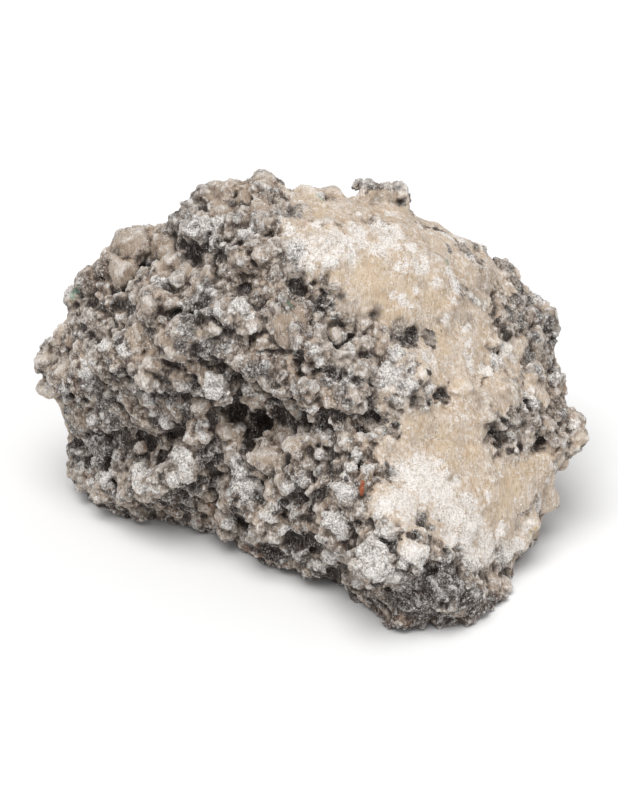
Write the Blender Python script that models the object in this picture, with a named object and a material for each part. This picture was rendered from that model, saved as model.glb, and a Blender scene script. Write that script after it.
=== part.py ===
"""Flint nodule: one knobbly stone, crusted on its upper right, resting on a flat broken face.

Metres, +Z up, the front towards -Y, the origin under the middle of the stone on its resting face.
"""

import math
import random

import bmesh
import bpy
import numpy as np
from mathutils import Vector
from mathutils.bvhtree import BVHTree

MM = 0.001

# The outline is measured as it looks from in front and above: across to the right and up, in
# millimetres on the plane that faces the eye, TARGET_HEIGHT over the table at the middle.
LOOK_DOWN = math.radians(30)
EYE_DISTANCE = 700.0
TARGET_HEIGHT = 29.5
RAY_START = 0.999  # of the way from that plane to the eye

# The rim of the core as seen: (across, up, height above the table), anticlockwise from the near
# corner. A height of 0 is the sharp edge of the broken face.
RIM = (
    (21.0, -48.8, 0), (27.5, -48.2, 0), (34.0, -48.0, 0), (38.6, -46.2, 0), (41.2, -42.4, 0),
    (43.8, -37.0, 2), (47.6, -30.2, 5), (50.4, -24.5, 9), (52.4, -18.5, 13),
    (54.6, -13.0, 17), (55.8, -7.0, 21), (54.6, 0.0, 26), (53.0, 6.5, 30), (52.0, 12.0, 34),
    (51.0, 18.0, 39), (47.2, 23.4, 45), (42.0, 28.8, 51), (35.6, 33.8, 57), (28.4, 37.6, 62),
    (20.0, 40.6, 66), (10.0, 43.0, 70), (0.0, 44.8, 72), (-10.0, 45.6, 73.0),
    (-20.0, 43.8, 71.0), (-28.8, 38.8, 65), (-34.4, 32.6, 58), (-41.4, 26.4, 53),
    (-47.4, 22.4, 48), (-50.4, 17.6, 43), (-52.6, 12.0, 36), (-54.2, 6.0, 30),
    (-53.4, 0.0, 23), (-51.8, -6.0, 16), (-50.6, -12.0, 9.5), (-48.4, -17.6, 4),
    (-46.6, -21.8, 0), (-42.0, -23.6, 0), (-33.0, -23.8, 0), (-24.5, -26.8, 0),
    (-16.0, -30.2, 0), (-8.0, -34.4, 0), (3.0, -38.0, 0), (10.5, -41.4, 0), (15.4, -45.4, 0),
)
HEART = (0.0, 8.0)  # where the rings close in, (across, up)
FRONT_BULGE = 24.0
BACK_BULGE = 41.0
SKIRT = 2.5  # how far the core runs on below the table, to be cut off there
BROKEN_EDGE_TOP = 1.0
AROUND, FRONT_RINGS, BACK_RINGS = 180, 54, 30

# Broad forms of the front, (across, up, reach, push towards the eye).
SWELLS = (
    (22, 22, 24, 4.5), (-22, 22, 17, 3.0), (-26, 6, 14, 3.5), (4, 6, 13, 3.0), (20, 2, 11, 3.5),
    (30, -20, 18, 3.0), (-4, -26, 10, 3.0), (18, -30, 12, 2.5), (-36, -16, 9, 2.0),
)
RELIEF_GROWTH = 2.2  # how fast the relief sets in from the rim, over the share of the way in
# Hollows and shadowed clefts, (across, up, reach, depth).
HOLLOWS = (
    (-16, -2.5, 4.5, 6.0), (-9, -5.0, 4.5, 6.5), (-2, -4.0, 4.0, 5.0), (6, -5.5, 4.0, 4.5),
    (13, -4.0, 3.5, 3.5), (-30, -9.0, 5.0, 4.5), (-37, -7.0, 4.0, 3.5), (-44, -12.0, 5.0, 4.0),
    (-42, 15.0, 3.5, 4.0), (-24, 31.0, 5.5, 4.5), (-27, 20.0, 3.5, 3.0), (-14, 26.0, 4.0, 3.0),
    (-2, 24.0, 3.5, 4.0), (4, 22.0, 2.5, 3.0), (5, 13.5, 3.5, 2.5), (28, 0.0, 3.5, 3.0),
    (46, -9.5, 4.5, 4.5), (41, -7.0, 3.5, 3.5), (52, -10.0, 3.0, 3.0), (-4, -26.0, 3.5, 5.0),
    (18, -43.5, 2.5, 4.0), (4, -30.0, 2.5, 3.5), (-21, -22.0, 3.0, 3.5), (26, -37.0, 3.0, 3.0),
    (33, 26.0, 3.0, 1.5), (-47, 4.0, 3.0, 3.0),
)
HOLLOW_BARE = 0.62  # of a hollow's reach, free of scattered knobs
BACK_STARTS = -5.0  # a point this far from the eye is behind the hollows

# Lumps picked one by one, (across, up, radius, rise). A rise of 1 is a half ball, 1.5 nearly a ball.
LUMPS = (
    (-9.8, 46.9, 3.6, 1.2), (-16.5, 45.0, 2.9, 1.1), (-21.5, 44.4, 3.0, 1.1), (-26.0, 40.2, 2.6, 1.0),
    (0.0, 44.6, 2.6, 1.0), (5.0, 44.8, 2.4, 1.0), (12.0, 45.2, 2.6, 1.3), (16.5, 45.0, 2.7, 1.3),
    (20.6, 43.2, 2.7, 1.3), (-38.6, 33.6, 4.7, 1.3), (-41.6, 28.0, 4.6, 1.2), (-33.0, 34.0, 4.4, 1.0),
    (-48.2, 26.2, 3.0, 1.1), (-50.4, 22.6, 3.2, 1.0), (-50.6, 17.0, 2.8, 1.0),
    (-54.8, 10.6, 3.3, 1.1), (-57.0, 7.2, 3.0, 1.2), (-57.2, 2.4, 2.6, 1.3), (-52.4, 5.0, 3.4, 1.2),
    (-51.5, -4.5, 2.4, 0.8), (-50.2, -11.0, 2.6, 0.7), (-48.6, -17.0, 2.6, 0.7),
    (57.2, -7.2, 3.2, 1.1), (55.6, -3.2, 2.6, 1.0), (57.0, -11.0, 2.4, 0.9), (52.6, -9.0, 3.4, 1.1),
    (53.4, 9.5, 2.3, 0.9), (52.4, 15.6, 2.9, 1.0), (51.2, 19.4, 2.5, 0.9), (43.5, 27.0, 2.5, 0.7),
    (54.0, 4.0, 2.2, 0.8), (-24.4, 37.2, 4.2, 0.8), (-16.0, 39.4, 3.2, 0.8), (-29.0, 31.0, 3.2, 0.8),
    (-33.6, 20.0, 4.6, 0.9), (-26.4, 13.0, 4.8, 1.0), (-17.6, 18.0, 4.4, 1.0), (-13.0, 17.0, 3.6, 1.1),
    (-41.5, 9.0, 5.0, 1.0), (-48.0, 3.0, 4.2, 1.1), (-33.6, 6.4, 4.4, 1.0), (-20.0, 3.6, 3.4, 1.3),
    (-12.0, 8.0, 4.2, 0.9), (-6.0, 3.4, 3.6, 1.1), (1.4, 2.0, 3.4, 1.1), (2.0, 11.0, 4.8, 0.9),
    (8.4, 8.0, 4.2, 1.0), (9.0, 1.0, 3.4, 1.0), (20.6, 6.4, 6.0, 0.8), (24.0, 2.0, 4.2, 0.8),
    (15.0, 11.6, 3.6, 0.8), (14.0, -8.6, 2.8, 1.0), (-2.0, -11.0, 3.8, 0.8), (-9.0, -12.0, 4.2, 0.7),
    (-15.4, -11.0, 4.4, 0.9), (-25.8, -14.0, 5.4, 1.1), (-22.0, -5.4, 4.6, 0.8), (-33.0, -4.4, 3.6, 0.9),
    (-45.6, -4.6, 2.2, 1.2), (-34.8, -18.4, 4.6, 0.9), (-40.0, -14.4, 3.2, 0.7), (-44.0, -19.4, 3.4, 1.0),
    (-39.8, -20.4, 3.0, 1.0), (-28.2, -22.6, 3.4, 0.8), (-14.0, -20.6, 4.2, 0.9), (-9.4, -26.0, 4.0, 0.9),
    (2.6, -18.6, 3.0, 1.0), (8.0, -21.4, 2.4, 1.1), (7.0, -27.6, 4.0, 1.2), (-18.6, -26.6, 3.6, 0.8),
    (-10.0, -31.4, 3.4, 0.7), (0.6, -35.0, 3.6, 0.7), (10.4, -33.0, 4.0, 0.9), (14.6, -36.0, 5.2, 1.0),
    (22.0, -33.6, 5.0, 0.7), (30.0, -43.0, 3.8, 0.7), (22.6, -44.4, 3.4, 0.6), (36.0, -41.8, 3.6, 0.6),
    (38.2, -1.6, 4.2, 0.5), (43.6, 3.0, 4.4, 0.6), (49.0, 6.4, 3.6, 0.7), (42.8, -3.6, 2.6, 1.0),
    (47.2, -4.6, 2.8, 1.0), (50.4, -4.0, 2.4, 1.0), (46.4, -7.4, 2.4, 1.1), (43.0, -10.4, 2.0, 1.1),
    (34.0, 13.0, 3.0, 0.5), (49.6, 13.0, 3.2, 0.7), (-4.0, 33.0, 4.6, 0.5), (2.4, 36.6, 4.6, 0.5),
    (-6.6, 38.6, 3.8, 0.6),
)
FACING = 0.25  # a lump on a spot that faces the eye less than this makes the outline instead
OUTLINE_SEARCH = range(-45, 50, 2)  # how far toward the eye such a lump may stand
# Smaller lumps that bud from each.
CHILD_SHARE = (0.36, 0.52)
CHILD_SUNK = 0.25
CHILDREN, CRUST_CHILDREN = 7, 3

# Where the smooth crust lies, (x, y, z, radius) in the stone's own millimetres.
CRUST = (
    (22, -4, 66, 27), (42, 2, 42, 22), (40, -30, 24, 20), (34, -38, 12, 14), (22, -28, 40, 12),
    (16, 26, 62, 20), (-6, 44, 34, 20),
)
CRUST_END, CRUST_FADE = 1.15, 0.3  # where it ends and how wide it fades, over its radius

# Knobs scattered over the rest.
KNOB_RADIUS = (1.9, 4.2)
KNOB_RISE = (0.55, 1.15)
CRUST_RISE = (0.18, 0.42)
KNOB_TRIES = 2600
KNOB_SPACING = 0.80
SEED = 7

BALL_SUBDIVISIONS = 2
VOXEL = 0.9
FACES_KEPT = 9600
CUTTER_WIDTH, CUTTER_DEPTH = 300.0, 60.0

STONE_COLOUR = (0.52, 0.47, 0.41, 1.0)
STONE_ROUGHNESS = 0.85


def clear_scene():
    for thing in list(bpy.data.objects):
        bpy.data.objects.remove(thing, do_unlink=True)


def seen_point(across, up, toward):
    """The point that looks to be at (across, up) and stands that far toward the eye, in millimetres."""
    near = 1 - toward / EYE_DISTANCE
    u, v = across * near, up * near
    y = v * math.sin(LOOK_DOWN) - toward * math.cos(LOOK_DOWN)
    z = TARGET_HEIGHT + v * math.cos(LOOK_DOWN) + toward * math.sin(LOOK_DOWN)
    return Vector((u, y, z))


def as_seen(point):
    """(across, up, toward) of a point, the reverse of seen_point."""
    x, y, z = point
    v = y * math.sin(LOOK_DOWN) + (z - TARGET_HEIGHT) * math.cos(LOOK_DOWN)
    toward = -y * math.cos(LOOK_DOWN) + (z - TARGET_HEIGHT) * math.sin(LOOK_DOWN)
    near = 1 - toward / EYE_DISTANCE
    return x / near, v / near, toward


def rim_point(across, up, height):
    """The point seen at (across, up) that is this high above the table. The broken edge runs on below it."""
    slope = math.sin(LOOK_DOWN) - up * math.cos(LOOK_DOWN) / EYE_DISTANCE
    toward = (height - TARGET_HEIGHT - up * math.cos(LOOK_DOWN)) / slope
    point = seen_point(across, up, toward)
    if height < BROKEN_EDGE_TOP:
        point.z -= SKIRT
    return Vector(as_seen(point))


def smooth_ring(points, count):
    """A closed Catmull-Rom curve through points, with count points on it."""
    made = []
    n = len(points)
    for k in range(count):
        at = k * n / count
        i = int(at)
        f = at - i
        a, b, c, d = (points[(i + j - 1) % n] for j in range(4))
        made.append(
            0.5 * ((2 * b) + (c - a) * f + (2 * a - 5 * b + 4 * c - d) * f * f + (3 * b - a - 3 * c + d) * f ** 3)
        )
    return made


def relief(across, up):
    """How far the front stands toward the eye beyond its plain bulge."""
    push = 0.0
    for x, y, reach, height in SWELLS:
        push += height * math.exp(-((across - x) ** 2 + (up - y) ** 2) / reach ** 2)
    for x, y, reach, depth in HOLLOWS:
        push -= depth * math.exp(-((across - x) ** 2 + (up - y) ** 2) / reach ** 2)
    return push


def core_mesh():
    """The stone without its knobs: the rim swelled to the front and the back, in millimetres."""
    ring = smooth_ring([rim_point(*p) for p in RIM], AROUND)
    mesh = bmesh.new()
    rows = []
    steps = [("back", k / BACK_RINGS) for k in range(BACK_RINGS - 1, 0, -1)]
    steps += [("front", k / FRONT_RINGS) for k in range(FRONT_RINGS)]
    for side, share in steps:
        angle = share * math.pi / 2
        bulge = FRONT_BULGE if side == "front" else -BACK_BULGE
        row = []
        for rim in ring:
            shrink = math.cos(angle)
            across = HEART[0] + (rim.x - HEART[0]) * shrink
            up = HEART[1] + (rim.y - HEART[1]) * shrink
            toward = rim.z * shrink + bulge * math.sin(angle)
            if side == "front":
                toward += relief(across, up) * min(1.0, RELIEF_GROWTH * share)
            row.append(mesh.verts.new(seen_point(across, up, toward)))
        rows.append(row)
    for lower, upper in zip(rows, rows[1:]):
        for k in range(AROUND):
            j = (k + 1) % AROUND
            mesh.faces.new((lower[k], lower[j], upper[j], upper[k]))
    mesh.faces.new(rows[-1])
    mesh.faces.new(list(reversed(rows[0])))
    bmesh.ops.triangulate(mesh, faces=[f for f in mesh.faces if len(f.verts) > 4])
    bmesh.ops.recalc_face_normals(mesh, faces=mesh.faces)
    return mesh


def on_front(tree, across, up, radius, rise):
    """The middle of a lump seen at (across, up): on the core, or beside it where it makes the outline."""
    eye = seen_point(0, 0, EYE_DISTANCE * RAY_START)
    through = seen_point(across, up, 0)
    hit, normal, _, _ = tree.ray_cast(eye, (through - eye).normalized())
    if hit is not None and normal.dot((eye - hit).normalized()) > FACING:
        return hit + normal * radius * (rise - 1), normal
    best = None
    for toward in OUTLINE_SEARCH:
        point = seen_point(across, up, toward)
        near, normal, _, distance = tree.find_nearest(point)
        if best is None or distance < best[0]:
            best = (distance, point, normal)
    return best[1], best[2]


def in_crust(point):
    """From 0 among the knobs to 1 well inside the crust."""
    most = 0.0
    for x, y, z, reach in CRUST:
        away = (point - Vector((x, y, z))).length / reach
        most = max(most, min(1.0, max(0.0, (CRUST_END - away) / CRUST_FADE)))
    return most


def hollow_at(point):
    across, up, toward = as_seen(point)
    if toward < BACK_STARTS:
        return False
    return any(math.hypot(across - x, up - y) < HOLLOW_BARE * reach for x, y, reach, _ in HOLLOWS)


def picked_lumps(tree, dice):
    """The lumps picked one by one, each with smaller ones budding from it, as (middle, radius)."""
    balls = []
    for across, up, radius, rise in LUMPS:
        middle, normal = on_front(tree, across, up, radius, rise)
        balls.append((middle, radius))
        smooth = in_crust(middle)
        for _ in range(CHILDREN if smooth < 0.5 else CRUST_CHILDREN):
            way = Vector([dice.gauss(0, 1) for _ in range(3)]).normalized()
            if way.dot(normal) < 0:
                way = -way
            small = radius * dice.uniform(*CHILD_SHARE)
            balls.append((middle + way * (radius - small * CHILD_SUNK), small))
    return balls


def scattered_knobs(mesh, tree, dice):
    """Knobs over the whole stone, spaced so that they crowd and do not pile up, as (middle, radius)."""
    faces = list(mesh.faces)
    steps = np.cumsum([f.calc_area() for f in faces])
    middles = np.empty((0, 3))
    radii = np.empty(0)
    placed = []
    for _ in range(KNOB_TRIES):
        face = faces[int(np.searchsorted(steps, dice.random() * steps[-1]))]
        shares = [dice.random() for _ in face.verts]
        point = sum((v.co * s for v, s in zip(face.verts, shares)), Vector()) / sum(shares)
        radius = dice.uniform(*KNOB_RADIUS)
        if point.z < -SKIRT or hollow_at(point):
            continue
        gaps = np.linalg.norm(middles - np.array(point), axis=1)
        if (gaps < KNOB_SPACING * (radii + radius)).any():
            continue
        middles = np.vstack((middles, point))
        radii = np.append(radii, radius)
        normal = tree.find_nearest(point)[1]
        smooth = in_crust(point)
        low, high = (a + (b - a) * smooth for a, b in zip(KNOB_RISE, CRUST_RISE))
        placed.append((point + normal * radius * (dice.uniform(low, high) - 1), radius))
    return placed


def ball_form():
    """Corners and faces of a ball of radius 1."""
    ball = bmesh.new()
    bmesh.ops.create_icosphere(ball, subdivisions=BALL_SUBDIVISIONS, radius=1.0)
    corners = np.array([v.co for v in ball.verts])
    faces = np.array([[v.index for v in f.verts] for f in ball.faces])
    ball.free()
    return corners, faces


def largest_shell(mesh):
    """Deletes every loose shell but the largest, such as a pocket closed in between knobs."""
    left, shells = set(mesh.verts), []
    while left:
        stack, shell = [left.pop()], []
        while stack:
            vert = stack.pop()
            shell.append(vert)
            for edge in vert.link_edges:
                other = edge.other_vert(vert)
                if other in left:
                    left.remove(other)
                    stack.append(other)
        shells.append(shell)
    shells.sort(key=len)
    for shell in shells[:-1]:
        bmesh.ops.delete(mesh, geom=shell, context="VERTS")


def evaluated(obj):
    """A new mesh of the object as its modifiers leave it."""
    bpy.context.view_layer.update()
    graph = bpy.context.evaluated_depsgraph_get()
    return bpy.data.meshes.new_from_object(obj.evaluated_get(graph))


def stone_material():
    material = bpy.data.materials.new("stone")
    material.use_nodes = True
    shader = material.node_tree.nodes["Principled BSDF"]
    shader.inputs["Base Color"].default_value = STONE_COLOUR
    shader.inputs["Roughness"].default_value = STONE_ROUGHNESS
    shader.inputs["Metallic"].default_value = 0.0
    material.diffuse_color = STONE_COLOUR
    return material


def fused_stone():
    """Core and knobs grown into one skin."""
    dice = random.Random(SEED)
    core = core_mesh()
    tree = BVHTree.FromBMesh(core)
    balls = picked_lumps(tree, dice) + scattered_knobs(core, tree, dice)
    core.verts.index_update()
    corners = [np.array([v.co for v in core.verts])]
    faces = [[v.index for v in f.verts] for f in core.faces]
    core.free()
    ball_corners, ball_faces = ball_form()
    start = len(corners[0])
    for middle, radius in balls:
        corners.append(ball_corners * radius + np.array(middle))
        faces.extend((ball_faces + start).tolist())
        start += len(ball_corners)
    data = bpy.data.meshes.new("flint_nodule")
    data.from_pydata((np.concatenate(corners) * MM).tolist(), [], faces)
    stone = bpy.data.objects.new("flint_nodule", data)
    bpy.context.scene.collection.objects.link(stone)
    fuse = stone.modifiers.new("fuse", "REMESH")
    fuse.mode = "VOXEL"
    fuse.voxel_size = VOXEL * MM
    return stone


def thin_out(stone):
    """Fewer faces, still one closed skin."""
    data = evaluated(stone)
    stone.modifiers.clear()
    skin = bmesh.new()
    skin.from_mesh(data)
    largest_shell(skin)
    bmesh.ops.triangulate(skin, faces=skin.faces)
    skin.to_mesh(data)
    share = FACES_KEPT / len(skin.faces)
    skin.free()
    stone.data = data
    fewer = stone.modifiers.new("fewer_faces", "DECIMATE")
    fewer.ratio = share
    fewer.use_collapse_triangulate = True


def break_base(stone):
    """Cuts the stone off flat at the table."""
    below = bmesh.new()
    bmesh.ops.create_cube(below, size=1.0)
    size = Vector((CUTTER_WIDTH, CUTTER_WIDTH, CUTTER_DEPTH)) * MM
    bmesh.ops.scale(below, verts=below.verts, vec=size)
    bmesh.ops.translate(below, verts=below.verts, vec=(0, 0, -size.z / 2))
    data = bpy.data.meshes.new("table_cut")
    below.to_mesh(data)
    below.free()
    cutter = bpy.data.objects.new("table_cut", data)
    cutter.hide_render = True
    cutter.display_type = "WIRE"
    bpy.context.scene.collection.objects.link(cutter)
    cut = stone.modifiers.new("broken_face", "BOOLEAN")
    cut.operation = "DIFFERENCE"
    cut.solver = "EXACT"
    cut.object = cutter


def centre(stone):
    """Puts the middle of the stone's box over the origin."""
    data = evaluated(stone)
    points = np.array([v.co for v in data.vertices])
    middle = (points.max(0) + points.min(0)) / 2
    stone.location = (-middle[0], -middle[1], 0)
    bpy.data.meshes.remove(data)


def main():
    clear_scene()
    stone = fused_stone()
    thin_out(stone)
    break_base(stone)
    stone.data.materials.clear()
    stone.data.materials.append(stone_material())
    centre(stone)


main()
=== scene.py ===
import math

import bmesh
import bpy
import numpy as np
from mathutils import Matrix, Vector, noise
from mathutils.bvhtree import BVHTree
from mathutils.kdtree import KDTree


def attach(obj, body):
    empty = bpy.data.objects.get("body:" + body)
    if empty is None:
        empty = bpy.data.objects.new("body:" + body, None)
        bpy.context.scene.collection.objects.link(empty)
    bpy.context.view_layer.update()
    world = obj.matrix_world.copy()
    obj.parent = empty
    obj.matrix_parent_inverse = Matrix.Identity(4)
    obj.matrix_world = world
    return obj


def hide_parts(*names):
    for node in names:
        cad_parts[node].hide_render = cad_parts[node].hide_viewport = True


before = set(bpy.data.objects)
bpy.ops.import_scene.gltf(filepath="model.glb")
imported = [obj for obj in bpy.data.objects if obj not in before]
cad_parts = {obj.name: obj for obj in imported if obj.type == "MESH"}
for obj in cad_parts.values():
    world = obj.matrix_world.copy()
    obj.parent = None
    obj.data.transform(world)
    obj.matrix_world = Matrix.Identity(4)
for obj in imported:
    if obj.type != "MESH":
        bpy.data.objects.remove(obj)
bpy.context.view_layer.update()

mm = 0.001
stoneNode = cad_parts["flint_nodule"]
dice = np.random.default_rng(11)
noise.seed_set(11)  # or Blender takes the time as the seed of its twisting noise

# Camera: where the picture was taken from
shot = {
    "lookDown": 30.0,  # degrees below level
    "eyeDistance": 0.700,  # to the target
    "target": (0.0002, 0.0032, 0.0295),
    "mmPerPixel": 0.2172,  # on the plane through the target
    "picture": (618, 800),
    "sensor": 36.0,  # mm
    "nearest": 0.01,
}
lookDown = math.radians(shot["lookDown"])
target = Vector(shot["target"])
towardEye = Vector((0, -math.cos(lookDown), math.sin(lookDown)))
pictureRight = Vector((1, 0, 0))
pictureUp = Vector((0, math.sin(lookDown), math.cos(lookDown)))
eye = target + towardEye * shot["eyeDistance"]
pixelSize = shot["mmPerPixel"] * mm


def placeCamera():
    lens = bpy.data.cameras.new("camera")
    lens.sensor_width = shot["sensor"]
    lens.lens = shot["sensor"] * shot["eyeDistance"] / (shot["picture"][1] * pixelSize)
    lens.clip_start = shot["nearest"]
    holder = bpy.data.objects.new("camera", lens)
    holder.location = eye
    holder.rotation_euler = (-towardEye).to_track_quat("-Z", "Y").to_euler()
    bpy.context.scene.collection.objects.link(holder)
    bpy.context.scene.camera = holder


placeCamera()
print("camera placed")

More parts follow.
